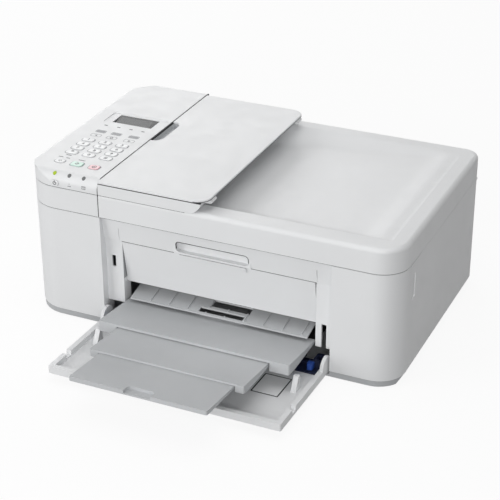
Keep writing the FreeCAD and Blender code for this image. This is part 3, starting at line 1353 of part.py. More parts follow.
def eject_guide():
    """The sloping plate that leads the sheet out, with two windows for the star wheels."""
    ends = (RAMP_FRONT, RAMP_BACK)
    top = [(FRONT + d, ramp_height(d)) for d in ends]
    low = [(FRONT + d, ramp_height(d) - RAMP_SKIN) for d in reversed(ends)]
    plate = profile_x(top + low, (-RAMP_WIDTH / 2, RAMP_WIDTH / 2))
    bar_y = (FRONT + RAMP_BACK - 3, FRONT + RAMP_BACK)
    bar_x = (-CHASSIS_HALF_WIDTH, CHASSIS_HALF_WIDTH)
    bar = block(bar_x, bar_y, (RAMP_BACK_TOP - 6, RAMP_BACK_TOP - 2))
    ribs = []
    pitch = RAMP_WIDTH / (RAMP_RIB_COUNT + 0.4)
    for i in range(RAMP_RIB_COUNT):
        x = (i - (RAMP_RIB_COUNT - 1) / 2) * pitch + 0.04 * RAMP_WIDTH
        over = [(FRONT + d, ramp_height(d) + 1.2) for d in (RAMP_FRONT + 2, RAMP_BACK)]
        under = [(FRONT + d, ramp_height(d) - 1) for d in (RAMP_BACK, RAMP_FRONT + 2)]
        ribs.append(profile_x(over + under, (x - 0.6, x + 0.6)))
    windows = [
        block((-14, 35), (FRONT + 24, FRONT + 35), (30, 60)),
        block((-25, 31), (FRONT + 12, FRONT + 20), (30, 60)),
    ]
    return joined(plate, bar, *ribs).cut(group(windows))


def gear(x, y, z):
    """A spur gear with straight-sided teeth, its axis along X."""
    root = GEAR_RADIUS - GEAR_TOOTH
    step = 2 * math.pi / GEAR_TEETH
    points = []
    for i in range(GEAR_TEETH):
        for share, radius in ((-0.30, root), (-0.14, GEAR_RADIUS), (0.14, GEAR_RADIUS), (0.30, root)):
            angle = (i + share) * step
            points.append((y + radius * math.cos(angle), z + radius * math.sin(angle)))
    return profile_x(points, (x, x + GEAR_WIDTH))


def roller(axis, height, radius, tyres, geared):
    """A steel shaft between the chassis sides with rubber tyres on it."""
    y = FRONT + axis
    end = CHASSIS_HALF_WIDTH + CHASSIS_SHEET + 1.5
    pieces = [rod_x(x, y, height, radius) for x in tyres]
    if geared:
        pieces.append(gear(-CHASSIS_HALF_WIDTH + 4, y, height))
    return joined(rod_x((-end, end), y, height, SHAFT_RADIUS), *pieces)


def feed_roller():
    return roller(FEED_AXIS, FEED_HEIGHT, FEED_RADIUS, [(-112, 112)], True)


def eject_roller():
    tyres = [(x - 7, x + 7) for x in (-90, -54, -18, 18, 54, 90)]
    return roller(EJECT_AXIS, EJECT_HEIGHT, EJECT_RADIUS, tyres, False)


def pick_roller():
    return roller(PICK_AXIS, PICK_HEIGHT, PICK_RADIUS, [(-28, -6), (6, 28)], False)


def carriage():
    half = CARRIAGE_WIDTH / 2
    x = (CARRIAGE_PARK - half, CARRIAGE_PARK + half)
    y = (FRONT + CARRIAGE_FRONT, FRONT + CARRIAGE_BACK)
    z = (CARRIAGE_BOTTOM, CARRIAGE_TOP)
    body = block(x, y, z)
    slope = profile_x(
        [(y[0] - 1, z[1] - 18), (y[0] - 1, z[1] + 1), (y[0] + 14, z[1] + 1)], (x[0] - 1, x[1] + 1)
    )
    pockets = [cartridge_space(i, 0.4, z[1] + 1) for i in (-1, 1)]
    hook_y = (y[1] - 1, FRONT + RAIL_SETBACK - RAIL_FLANGE + CHASSIS_SHEET + 6)
    hook = block((x[0] + 6, x[1] - 6), hook_y, (CHASSIS_TOP - 12, CHASSIS_TOP - 8))
    return joined(body.cut(slope).cut(group(pockets)), hook)


def cartridge_space(side, grow, top):
    half = CARRIAGE_WIDTH / 4 - 3
    centre = CARRIAGE_PARK + side * CARRIAGE_WIDTH / 4
    y = (FRONT + CARRIAGE_FRONT + 4, FRONT + CARRIAGE_BACK - 3)
    x = (centre - half - grow, centre + half + grow)
    return block(x, (y[0] - grow, y[1] + grow), (CARRIAGE_BOTTOM + 4 - grow, top))


def ink_cartridges():
    cartridges = []
    for side in (-1, 1):
        body = cartridge_space(side, 0, CARRIAGE_TOP - 6)
        box = body.BoundBox
        slope = profile_x(
            [(box.YMin - 1, box.ZMax - 16), (box.YMin - 1, box.ZMax + 1), (box.YMin + 14, box.ZMax + 1)],
            (box.XMin - 1, box.XMax + 1),
        )
        nozzle_z = (CARRIAGE_BOTTOM + 4 - 0.4, CARRIAGE_BOTTOM + 5)
        nozzle_y = (box.YMin + 10, box.YMax - 8)
        nozzle = block((box.XMin + 8, box.XMax - 8), nozzle_y, nozzle_z)
        cartridges.append(joined(body.cut(slope), nozzle))
    return group(cartridges)


def carriage_belt():
    x = CHASSIS_HALF_WIDTH - PULLEY_FROM_SIDE
    y = FRONT + BELT_SETBACK
    z = (BELT_HEIGHT, BELT_HEIGHT + BELT_WIDTH)
    outer = PULLEY_RADIUS + 1.2
    loop = rounded((-x - outer, x + outer), (y - outer, y + outer), z, outer - 0.01)
    inner_x = (-x - PULLEY_RADIUS, x + PULLEY_RADIUS)
    inner_y = (y - PULLEY_RADIUS, y + PULLEY_RADIUS)
    inner = rounded(inner_x, inner_y, (z[0] - 1, z[1] + 1), PULLEY_RADIUS - 0.01)
    flange = rod_z(x, y, (z[0] - 1, z[0]), PULLEY_RADIUS + 1)
    wheel = joined(rod_z(x, y, z, PULLEY_RADIUS - 0.02), flange)
    bore = rod_z(x, y, (z[0] - 2, z[1] + 1), 1.5)
    return group([loop.cut(inner)] + both_sides(wheel.cut(bore)))


def drive_motors():
    x = -CHASSIS_HALF_WIDTH + PULLEY_FROM_SIDE
    y = FRONT + BELT_SETBACK
    top = BELT_HEIGHT - CHASSIS_SHEET - 1
    can = rod_z(x, y, (top - MOTOR_LENGTH, top), MOTOR_RADIUS)
    carriage_motor = joined(can, rod_z(x, y, (top - MOTOR_LENGTH - 2, BELT_HEIGHT + BELT_WIDTH), 1.5))
    feed_y = FRONT + FEED_AXIS + GEAR_RADIUS + 20
    feed_z = 70.0
    side = -CHASSIS_HALF_WIDTH
    feed_motor = joined(
        rod_x((side, side + MOTOR_LENGTH), feed_y + 8, feed_z, MOTOR_RADIUS - 1),
        rod_x((side + MOTOR_LENGTH - 1, side + MOTOR_LENGTH + 5), feed_y + 8, feed_z, 4),
    )
    idler = rod_z(-x, y, (BELT_HEIGHT - CHASSIS_SHEET - 3, BELT_HEIGHT + BELT_WIDTH), 1.5)
    return group([carriage_motor, feed_motor, idler])


MAINTENANCE_LEFT = BAY + 4


def maintenance_unit():
    x = (MAINTENANCE_LEFT, CHASSIS_HALF_WIDTH - 2)
    y = (FRONT + MAINTENANCE_FRONT, FRONT + MAINTENANCE_FRONT + MAINTENANCE_DEPTH)
    body = block(x, y, (FLOOR_TOP, PLATEN_TOP - 2)).cut(
        block((x[0] + 2, x[1] - 2), (y[0] + 2, y[1] - 2), (FLOOR_TOP + 2, PLATEN_TOP - 6))
    )
    caps = []
    for i in (0, 1):
        cap_x = (x[0] + 5 + i * 20, x[0] + 21 + i * 20)
        cap = rounded(cap_x, (y[0] + 8, y[0] + 36), (PLATEN_TOP - 3, PLATEN_TOP + 2.5), 3)
        well = rounded(
            (cap_x[0] + 1.5, cap_x[1] - 1.5), (y[0] + 9.5, y[0] + 34.5), (PLATEN_TOP, PLATEN_TOP + 4), 2
        )
        caps.append(cap.cut(well))
    return joined(body, *caps)


def main_board():
    x = -CHASSIS_HALF_WIDTH - CHASSIS_SHEET
    y = (FRONT + MAIN_BOARD_FRONT, FRONT + MAIN_BOARD_FRONT + MAIN_BOARD_LENGTH)
    board = block((x - 6.6, x - 5), y, (30, 108))
    pieces = []
    for py in (y[0] + 6, y[1] - 6):
        for pz in (36, 102):
            pieces.append(rod_x((x - 5.5, x), py, pz, 2.5))
    for py, pz, size in ((90, 60, 22), (125, 80, 15), (140, 50, 12)):
        chip = block((x - 5.2, x - 3), (FRONT + py, FRONT + py + size), (pz, pz + size))
        pieces.append(chip)
    return joined(board, *pieces)


def power_supply():
    x = (BAY + 6, CHASSIS_HALF_WIDTH - 4)
    y = (FRONT + POWER_SUPPLY_FRONT, BACK - WALL - SOCKET_DEPTH - 1)
    box = rounded(x, y, (FLOOR_TOP, 74), 2)
    slots = []
    for x0 in range(int(x[0]) + 6, int(x[1]) - 6, 6):
        slots.append(block((x0, x0 + 2), (y[0] - 1, y[1] + 1), (46, 66)))
    return box.cut(group(slots))


NODES = {
    "base_pan": base_pan,
    "rubber_feet": rubber_feet,
    "left_cover": lambda: side_cover(-1),
    "right_cover": lambda: side_cover(1),
    "rear_panel": rear_panel,
    "rear_cover": rear_cover,
    "sockets": sockets,
    "grip_bezel": grip_bezel,
    "front_trim": front_trim,
    "output_cover": output_cover,
    "output_tray": output_tray,
    "output_slide": output_slide,
    "output_extension": output_extension,
    "front_tray": front_tray,
    "paper_guide_left": lambda: paper_guide(-1),
    "paper_guide_right": lambda: paper_guide(1),
    "scanner_bed": scanner_bed,
    "scan_glass": scan_glass,
    "scan_head": scan_head,
    "panel_body": panel_body,
    "panel_face": panel_face,
    "panel_board": panel_board,
    "lcd_module": lcd_module,
    "lamp_lenses": lamp_lenses,
    "key_power": key_power,
    "lid_shell": lid_shell,
    "document_pad": document_pad,
    "feeder_body": feeder_body,
    "feeder_roller": feeder_roller,
    "document_tray": document_tray,
    "document_guide_front": lambda: document_guide(-1),
    "document_guide_rear": lambda: document_guide(1),
    "main_chassis": main_chassis,
    "print_platen": print_platen,
    "eject_guide": eject_guide,
    "feed_roller": feed_roller,
    "eject_roller": eject_roller,
    "pick_roller": pick_roller,
    "carriage": carriage,
    "ink_cartridges": ink_cartridges,
    "carriage_belt": carriage_belt,
    "drive_motors": drive_motors,
    "maintenance_unit": maintenance_unit,
    "main_board": main_board,
    "power_supply": power_supply,
}

def save(name, shape):
    """Write one piece, moved so that the origin lies under the middle of the machine."""
    shape.translate(vec(CENTRE_SHIFT, 0, 0))
    shape.exportStep(f"parts/{name}.step")


os.makedirs("parts", exist_ok=True)
for node, make in NODES.items():
    save(node, make())
for place in key_places():
    save(f"key_{place[0]}", key(place))
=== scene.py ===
# %% [markdown]
# # A desktop ink-jet all-in-one, dressed for a studio picture
#
# The solids of the machine come ready made: case, lid, feeder, trays, keys and the works inside.
# This lesson gives them their looks. It sets up a camera and soft light, mixes one finish for each
# kind of plastic, metal, rubber and glass, and then adds the small printed and moulded details.
# Everything is in metres, +X to the right of someone facing the machine, +Y to its back, +Z up.

# %% Load the solids
import json
import math
import bpy
import bmesh
from mathutils import Matrix, Vector
from mathutils.bvhtree import BVHTree


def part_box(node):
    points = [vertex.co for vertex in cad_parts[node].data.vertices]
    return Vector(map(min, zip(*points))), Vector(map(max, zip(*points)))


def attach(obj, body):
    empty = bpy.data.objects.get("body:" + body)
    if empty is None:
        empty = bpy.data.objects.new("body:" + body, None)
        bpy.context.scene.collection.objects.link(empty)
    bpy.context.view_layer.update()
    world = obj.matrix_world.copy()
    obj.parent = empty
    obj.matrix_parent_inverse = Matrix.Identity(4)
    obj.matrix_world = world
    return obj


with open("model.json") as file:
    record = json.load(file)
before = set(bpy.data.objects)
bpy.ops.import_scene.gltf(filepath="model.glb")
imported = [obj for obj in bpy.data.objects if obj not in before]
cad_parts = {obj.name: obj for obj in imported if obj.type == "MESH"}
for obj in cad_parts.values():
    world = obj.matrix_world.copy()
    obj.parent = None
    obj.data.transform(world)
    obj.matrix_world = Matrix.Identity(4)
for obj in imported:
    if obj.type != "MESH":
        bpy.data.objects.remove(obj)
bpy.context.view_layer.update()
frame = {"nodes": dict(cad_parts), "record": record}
nodes = frame["nodes"]
scene = bpy.context.scene
MM = 0.001

# %% [markdown]
# ## Camera
#
# A camera can be placed by eye, or solved from the straight edges of a picture. This one was solved,
# so it is written down as three directions (its right, its up and its back) and a place. A long lens
# of about 107 mm keeps the machine's verticals calm, and the frame is square.

# %% Camera
LENS_MM = 107.02
SENSOR_MM = 36.0
CAMERA_RIGHT = (0.91080, 0.41282, -0.00449)
CAMERA_UP = (-0.18903, 0.42670, 0.88442)
CAMERA_BACK = (0.36702, -0.80468, 0.46668)
CAMERA_PLACE = (0.66248, -1.37847, 0.90971)

lens = bpy.data.cameras.new("studio_camera")
lens.lens = LENS_MM
lens.sensor_width = SENSOR_MM
camera = bpy.data.objects.new("studio_camera", lens)
turn = Matrix((CAMERA_RIGHT, CAMERA_UP, CAMERA_BACK)).transposed().to_4x4()
camera.matrix_world = Matrix.Translation(CAMERA_PLACE) @ turn
scene.collection.objects.link(camera)
scene.camera = camera
print("camera at", CAMERA_PLACE, "lens", LENS_MM)

# %% [markdown]
# ## Light
#
# White plastic needs light that differs from side to side, or the case turns into a paper cut-out.
# A wide soft box overhead lights the lid. The main front light stands a little to the right, so the
# round front corner carries the brightest band and the side behind it falls off quickly. A broad box
# on the left evens out the front, and another one reaches the back. Lamps could be suns or points;
# areas are chosen because their large size gives the soft edges of a photo studio.

# %% Room and lamps
scene.view_settings.view_transform = "Standard"
ROOM_STRENGTH = 0.16


def combine(tree, operation, first, second):
    """One operation on two values, each of them a socket or a number."""
    step = tree.nodes.new("ShaderNodeMath")
    step.operation = operation
    for socket, value in zip(step.inputs, (first, second)):
        if isinstance(value, float):
            socket.default_value = value
        else:
            tree.links.new(value, socket)
    return step.outputs["Value"]


def pale_to_the_eye(tree, strength):
    """1 for rays that come from the camera, a mirror or glass, else the strength given."""
    path = tree.nodes.new("ShaderNodeLightPath")
    total = path.outputs["Is Camera Ray"]
    for ray in ("Is Glossy Ray", "Is Transmission Ray"):
        total = combine(tree, "MAXIMUM", total, path.outputs[ray])
    level = tree.nodes.new("ShaderNodeMapRange")
    level.inputs["To Min"].default_value = strength
    level.inputs["To Max"].default_value = 1.0
    tree.links.new(total, level.inputs["Value"])
    return level.outputs["Result"]


room = bpy.data.worlds.new("pale_room")
scene.world = room
room.use_nodes = True
sky = room.node_tree.nodes["Background"]
sky.inputs["Color"].default_value = (1.0, 1.0, 1.0, 1.0)
room.node_tree.links.new(pale_to_the_eye(room.node_tree, ROOM_STRENGTH), sky.inputs["Strength"])


def soft_box(name, place, aim, size, watts):
    lamp = bpy.data.lights.new(name, "AREA")
    lamp.shape = "RECTANGLE"
    lamp.size, lamp.size_y = size
    lamp.energy = watts
    box = bpy.data.objects.new(name, lamp)
    box.location = place
    box.rotation_euler = (Vector(aim) - Vector(place)).to_track_quat("-Z", "Y").to_euler()
    scene.collection.objects.link(box)


CASE_MIDDLE = (0.0, 0.09, 0.10)
# name, place, size and watts
SOFT_BOXES = (
    ("overhead_box", (0.05, 0.1, 2.3), (2.2, 2.2), 19.5),
    ("front_box", (0.85, -2.1, 0.8), (1.2, 1.2), 21.5),
    ("left_box", (-1.7, -1.6, 0.9), (1.6, 1.4), 26.0),
    ("back_box", (-1.5, 2.0, 1.0), (1.6, 1.4), 18.0),
)
for name, place, size, watts in SOFT_BOXES:
    soft_box(name, place, CASE_MIDDLE, size, watts)
print("room strength", ROOM_STRENGTH, "and", len(SOFT_BOXES), "soft boxes")

# %% [markdown]
# ## Floor
#
# The floor is a plain pale plane that stands outside the object, so it is marked as stage. A white
# world alone could do, but the machine would float. Seen directly the floor is nearly pure white, and
# a small share of ordinary shading is left in, which keeps the soft shadow under the machine. For the
# light that it sends back up it counts as grey, or it would fill in the shaded side of the case.

# %% Floor
FLOOR_HALF = 6.0
SHADOW_SHARE = 0.10
SENT_BACK = 0.35

sheet = bmesh.new()
bmesh.ops.create_grid(sheet, x_segments=1, y_segments=1, size=FLOOR_HALF)
floor_mesh = bpy.data.meshes.new("floor")
sheet.to_mesh(floor_mesh)
sheet.free()
floor = bpy.data.objects.new("floor", floor_mesh)
scene.collection.objects.link(floor)

paint = bpy.data.materials.new("pale_floor")
paint.use_nodes = True
floor_tree = paint.node_tree
floor_shade = floor_tree.nodes["Principled BSDF"]
floor_tree.links.new(pale_to_the_eye(floor_tree, SENT_BACK), floor_shade.inputs["Base Color"])
floor_shade.inputs["Roughness"].default_value = 0.9
floor_shade.inputs["Specular IOR Level"].default_value = 0.0
glow = floor_tree.nodes.new("ShaderNodeEmission")
glow.inputs["Strength"].default_value = 1.0
either = floor_tree.nodes.new("ShaderNodeMixShader")
share = combine(floor_tree, "MULTIPLY", pale_to_the_eye(floor_tree, 0.0), 1.0 - SHADOW_SHARE)
floor_tree.links.new(share, either.inputs["Fac"])
floor_tree.links.new(floor_shade.outputs["BSDF"], either.inputs[1])
floor_tree.links.new(glow.outputs["Emission"], either.inputs[2])
floor_tree.links.new(either.outputs["Shader"], floor_tree.nodes["Material Output"].inputs["Surface"])
floor_mesh.materials.append(paint)
print("floor", 2 * FLOOR_HALF, "m wide")

# %% [markdown]
# ## Moulded plastic
#
# Most of the machine is injection-moulded plastic. Under a lens it is never one flat colour: the
# tool leaves a fine grain, the gloss wanders a little, and the tint shifts by a percent or two over
# ten centimetres. A painted picture could hold all that, but noise works at any distance and needs no
# unwrapping, so each plastic is one recipe with its own two tints, gloss and grain.

# %% Moulded plastic recipe
def ink(red, green, blue):
    """A colour read off a screen, 0 to 255, as the renderer wants it."""
    channels = []
    for value in (red, green, blue):
        part = value / 255.0
        channels.append(part / 12.92 if part <= 0.04045 else ((part + 0.055) / 1.055) ** 2.4)
    return (*channels, 1.0)


def object_place(tree):
    """Where a point lies, in the object's own metres."""
    return tree.nodes.new("ShaderNodeTexCoord").outputs["Object"]


def noise(tree, scale, detail):
    texture = tree.nodes.new("ShaderNodeTexNoise")
    texture.inputs["Scale"].default_value = scale
    texture.inputs["Detail"].default_value = detail
    tree.links.new(object_place(tree), texture.inputs["Vector"])
    return texture.outputs["Fac"]


NOISE_REACH = (0.3, 0.7)


def spread(tree, value, low, high):
    """Stretch the range that noise really fills between two ends."""
    level = tree.nodes.new("ShaderNodeMapRange")
    level.inputs["From Min"].default_value = NOISE_REACH[0]
    level.inputs["From Max"].default_value = NOISE_REACH[1]
    level.inputs["To Min"].default_value = low
    level.inputs["To Max"].default_value = high
    tree.links.new(value, level.inputs["Value"])
    return level.outputs["Result"]


def two_tints(tree, value, first, second):
    mix = tree.nodes.new("ShaderNodeMix")
    mix.data_type = "RGBA"
    mix.inputs["A"].default_value = first
    mix.inputs["B"].default_value = second
    tree.links.new(value, mix.inputs["Factor"])
    return mix.outputs["Result"]


def raise_grain(tree, value, depth):
    bump = tree.nodes.new("ShaderNodeBump")
    bump.inputs["Strength"].default_value = 0.5
    bump.inputs["Distance"].default_value = depth
    tree.links.new(value, bump.inputs["Height"])
    tree.links.new(bump.outputs["Normal"], tree.nodes["Principled BSDF"].inputs["Normal"])


PLASTIC_IOR = 1.49
TINT_SCALE = 9.0
GLOSS_SCALE = 60.0


def moulded(name, first, second, gloss=(0.42, 0.52), grain=1900.0, depth=0.00003):
    """Plastic with a wandering tint, a wandering gloss and a fine tool grain."""
    plastic = bpy.data.materials.new(name)
    plastic.use_nodes = True
    tree = plastic.node_tree
    shade = tree.nodes["Principled BSDF"]
    shade.inputs["IOR"].default_value = PLASTIC_IOR
    broad = spread(tree, noise(tree, TINT_SCALE, 3.0), 0.0, 1.0)
    tree.links.new(two_tints(tree, broad, first, second), shade.inputs["Base Color"])
    tree.links.new(spread(tree, noise(tree, GLOSS_SCALE, 2.0), *gloss), shade.inputs["Roughness"])
    raise_grain(tree, noise(tree, grain, 2.0), depth)
    return plastic


finishes = {
    "white_shell": moulded("white_shell", ink(229, 230, 231), ink(233, 234, 235)),
    "bed_white": moulded("bed_white", ink(222, 224, 225), ink(228, 229, 230), gloss=(0.5, 0.62)),
    "tray_grey": moulded("tray_grey", ink(188, 190, 192), ink(196, 198, 200), gloss=(0.38, 0.5)),
    "base_grey": moulded("base_grey", ink(178, 180, 182), ink(186, 188, 190), grain=1300.0),
    "inner_black": moulded("inner_black", ink(26, 27, 29), ink(38, 39, 42), gloss=(0.35, 0.5)),
    "key_white": moulded("key_white", ink(233, 234, 235), ink(238, 239, 240), gloss=(0.3, 0.4)),
    "key_green": moulded("key_green", ink(200, 231, 218), ink(209, 236, 225), gloss=(0.3, 0.4)),
    "key_red": moulded("key_red", ink(241, 196, 202), ink(245, 207, 212), gloss=(0.3, 0.4)),
}
print("plastics mixed:", ", ".join(finishes))

# %% [markdown]
# ## Blue paper guide
#
# The guides that hold the paper are dark navy, with a brighter blue lever in front where a finger
# pushes them. They could be two pieces, but a guide slides as one, so one finish turns from navy to
# blue by place: blue is what stands above the foot and in front of the handle.

# %% Blue guide finish
def place_along(tree, axis):
    """How far along one axis a point lies."""
    split = tree.nodes.new("ShaderNodeSeparateXYZ")
    tree.links.new(object_place(tree), split.inputs["Vector"])
    return split.outputs[axis]


def by_place(tree, axis, zero_at, one_at):
    """A value that goes smoothly from 0 to 1 between two places along an axis."""
    level = tree.nodes.new("ShaderNodeMapRange")
    level.interpolation_type = "SMOOTHSTEP"
    level.inputs["From Min"].default_value = min(zero_at, one_at)
    level.inputs["From Max"].default_value = max(zero_at, one_at)
    level.inputs["To Min"].default_value = 0.0 if zero_at < one_at else 1.0
    level.inputs["To Max"].default_value = 1.0 if zero_at < one_at else 0.0
    tree.links.new(place_along(tree, axis), level.inputs["Value"])
    return level.outputs["Result"]


# from navy to blue: above the guide's foot, and behind its front end
LEVER_RISE = (0.0030, 0.0040)
LEVER_BACK = (0.0220, 0.0212)
guide_low, guide_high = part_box("paper_guide_right")
navy = moulded("guide_navy", ink(24, 34, 66), ink(30, 42, 80))
tree = navy.node_tree
above_foot = by_place(tree, "Z", *(guide_low.z + height for height in LEVER_RISE))
before_handle = by_place(tree, "Y", *(guide_low.y + back for back in LEVER_BACK))
lever = combine(tree, "MULTIPLY", above_foot, before_handle)
blues = two_tints(tree, lever, ink(20, 27, 52), ink(34, 72, 152))
tree.links.new(blues, tree.nodes["Principled BSDF"].inputs["Base Color"])
finishes["guide_navy"] = navy
print("guides from", round(guide_low.z, 4), "to", round(guide_high.z, 4))

# %% [markdown]
# ## Metal, rubber, glass and circuit board
#
# These are only seen with the covers open or from below, but they make the inside believable. Zinc
# plated sheet shows a faint patchwork of crystals, so a pattern of cells varies its gloss. Rubber is
# nearly black and quite matt. The scanner's glass is clear float glass with a trace of green, and the
# boards carry solder resist over a maze of tracks. Pictures of real materials could be wrapped round
# the solids, but small patterns in the shader fit every shape as it is.

# %% Metal, rubber, glass and board
def shader_of(name, base, roughness, metallic=0.0):
    finish = bpy.data.materials.new(name)
    finish.use_nodes = True
    shade = finish.node_tree.nodes["Principled BSDF"]
    shade.inputs["Base Color"].default_value = base
    shade.inputs["Roughness"].default_value = roughness
    shade.inputs["Metallic"].default_value = metallic
    return finish, finish.node_tree, shade


def cells(tree, scale, feature="F1"):
    texture = tree.nodes.new("ShaderNodeTexVoronoi")
    texture.feature = feature
    texture.inputs["Scale"].default_value = scale
    tree.links.new(object_place(tree), texture.inputs["Vector"])
    return texture.outputs["Distance"]


steel, tree, shade = shader_of("steel", ink(176, 178, 182), 0.35, 1.0)
tree.links.new(spread(tree, cells(tree, 160.0), 0.26, 0.46), shade.inputs["Roughness"])
raise_grain(tree, noise(tree, 900.0, 3.0), 0.00001)
finishes["steel"] = steel

rubber, tree, shade = shader_of("rubber", ink(48, 48, 50), 0.85)
dusty = spread(tree, noise(tree, 500.0, 4.0), 0.0, 1.0)
tree.links.new(two_tints(tree, dusty, ink(40, 40, 42), ink(58, 58, 60)), shade.inputs["Base Color"])
raise_grain(tree, noise(tree, 2600.0, 2.0), 0.00005)
finishes["rubber"] = rubber

glass, tree, shade = shader_of("scan_glass", ink(214, 230, 226), 0.03)
shade.inputs["IOR"].default_value = 1.52
shade.inputs["Transmission Weight"].default_value = 0.92
raise_grain(tree, noise(tree, 14.0, 1.0), 0.000002)
finishes["scan_glass"] = glass

circuit, tree, shade = shader_of("circuit", ink(36, 104, 62), 0.35)
track = spread(tree, cells(tree, 420.0, "DISTANCE_TO_EDGE"), 0.0, 1.0)
tree.links.new(two_tints(tree, track, ink(58, 132, 84), ink(28, 86, 50)), shade.inputs["Base Color"])
raise_grain(tree, track, 0.00004)
finishes["circuit"] = circuit
print("four more finishes")

# %% [markdown]
# ## Display and lamps
#
# The display is a smoked window that lies tilted in its trough. Behind the window the liquid crystal
# shows as a grid of fine cells, lighter than its frame. Modelled one by one they would be thousands,
# so a brick texture draws them at their true pitch of about 0.6 mm. The three lamps are one set of
# lenses: the one on the left is lit lime green and the other two are dark, and a step along X tells
# them apart.

# %% Display and lamp finishes
WINDOW_GLOSS = 0.2
CELL_SIZE = (0.0006, 0.0008)
CELL_LINE = 0.00006
LAMP_PITCH = 0.010
LAMP_GLOW = 0.45
display, tree, shade = shader_of("display", ink(34, 35, 37), 0.14)
shade.inputs["Specular IOR Level"].default_value = WINDOW_GLOSS
smoke = spread(tree, noise(tree, 40.0, 2.0), 0.0, 1.0)
tree.links.new(two_tints(tree, smoke, ink(28, 29, 31), ink(42, 43, 45)), shade.inputs["Base Color"])
finishes["display"] = display

pixel_grid, tree, shade = shader_of("display_cells", ink(100, 102, 102), 0.25)
shade.inputs["Specular IOR Level"].default_value = WINDOW_GLOSS
brick = tree.nodes.new("ShaderNodeTexBrick")
brick.offset = 0.0
brick.inputs["Color1"].default_value = ink(106, 108, 108)
brick.inputs["Color2"].default_value = ink(96, 98, 98)
brick.inputs["Mortar"].default_value = ink(70, 72, 73)
brick.inputs["Scale"].default_value = 1.0
brick.inputs["Mortar Size"].default_value = CELL_LINE
brick.inputs["Brick Width"].default_value = CELL_SIZE[0]
brick.inputs["Row Height"].default_value = CELL_SIZE[1]
tree.links.new(object_place(tree), brick.inputs["Vector"])
tree.links.new(brick.outputs["Color"], shade.inputs["Base Color"])

lamp_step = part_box("lamp_lenses")[0].x + LAMP_PITCH
lamp, tree, shade = shader_of("lamp", ink(104, 106, 106), 0.25)
lit = combine(tree, "LESS_THAN", place_along(tree, "X"), lamp_step)
tint = two_tints(tree, lit, ink(112, 114, 114), ink(158, 180, 40))
tree.links.new(tint, shade.inputs["Base Color"])
shine = two_tints(tree, lit, ink(0, 0, 0), ink(96, 120, 6))
tree.links.new(shine, shade.inputs["Emission Color"])
shade.inputs["Emission Strength"].default_value = LAMP_GLOW
finishes["lamp"] = lamp
print("lamps lit left of x =", round(lamp_step, 4))

# %% [markdown]
# ## Dress the solids
#
# Each solid already knows the name of its finish. The solids could be modelled again here, but then
# they might drift from the shapes that move and fit, so they keep their meshes and only swap the
# material in their slots.

# %% Give every solid its finish
for part in frame["record"]["subparts"]:
    solid = nodes[part["node"]].data
    solid.materials.clear()
    solid.materials.append(finishes[part["material_slot"]])

# %% [markdown]
# ## Printed marks: the stamp
#
# Numbers, signs and labels on such a machine are pad printed: a film of ink a few hundredths of a
# millimetre thick that follows the plastic below it. A picture on the surface could show them, but
# pictures need unwrapping and blur up close. Here each mark is drawn flat in millimetres, and a stamp
# presses it on: every corner is sent along a ray until it meets the solid, so the film lies on keys,
# rounds and slopes alike. It is closed into a thin slab, so that it is a real body from every side.

# %% The stamp
FILM = 0.00006
SUNK = 0.00002
RAY_START = 0.03
skins = {}


def skin_of(node):
    """The surface of a solid, ready for rays."""
    if node not in skins:
        mesh = nodes[node].data
        corners = [v.co.copy() for v in mesh.vertices]
        skins[node] = BVHTree.FromPolygons(corners, [tuple(f.vertices) for f in mesh.polygons])
    return skins[node]


def add_piece(name, mesh, body, finish):
    """Turn a mesh into a piece that rides on a body and takes a finish."""
    mesh.materials.append(finish)
    piece = bpy.data.objects.new(name, mesh)
    scene.collection.objects.link(piece)
    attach(piece, body)


def stamp(name, flat, place, across, along, node, body, slot, finish):
    """Press a flat drawing in millimetres onto a solid, and close it into a thin film."""
    inward = -Vector(across).cross(Vector(along)).normalized()
    skin = skin_of(node)
    below = {}
    above = {}
    film_mesh = bmesh.new()
    for corner in flat.verts:
        start = Vector(place) + MM * (corner.co.x * Vector(across) + corner.co.y * Vector(along))
        hit = skin.ray_cast(start - RAY_START * inward, inward)[0]
        if hit is None:
            raise ValueError(f"{name} misses {node} at {tuple(start)}")
        below[corner] = film_mesh.verts.new(hit + SUNK * inward)
        above[corner] = film_mesh.verts.new(hit - FILM * inward)
    for face in flat.faces:
        film_mesh.faces.new([above[v] for v in face.verts])
        film_mesh.faces.new([below[v] for v in reversed(face.verts)])
    for edge in flat.edges:
        if len(edge.link_loops) == 1:
            first = edge.link_loops[0].vert
            second = edge.other_vert(first)
            film_mesh.faces.new((above[second], above[first], below[first], below[second]))
    bmesh.ops.recalc_face_normals(film_mesh, faces=film_mesh.faces)
    mesh = bpy.data.meshes.new(name)
    film_mesh.to_mesh(mesh)
    film_mesh.free()
    flat.free()
    add_piece(name, mesh, body, finish)


print("stamp ready, film", FILM / MM, "mm thick")

# %% [markdown]
# ## Printed marks: drawing flat shapes
#
# A few flat shapes make every sign on the panel: a loop of points that is filled, a band between two
# loops, and a glyph from Blender's own font. Curves could draw them too, but a loop says exactly where
# its corners are. Loops are sampled finely where the panel is rounded, so that the stamp can bend them.

# %% Flat shapes
WELD = 0.001
CORNER_STEPS = 6


def arc(radius, first, last, steps=28):
    angles = [math.radians(first + (last - first) * i / steps) for i in range(steps + 1)]
    return [(radius * math.cos(a), radius * math.sin(a)) for a in angles]


def soft_rectangle(width, depth, corner):
    """Points round a rectangle with round corners, against the clock from the right."""
    points = []
    for turn in range(4):
        sign_x = 1 if turn in (0, 3) else -1
        sign_y = 1 if turn in (0, 1) else -1
        middle = (sign_x * (width / 2 - corner), sign_y * (depth / 2 - corner))
        quarter = arc(corner, 90 * turn, 90 * turn + 90, CORNER_STEPS)
        points += [(middle[0] + x, middle[1] + y) for x, y in quarter]
    return points


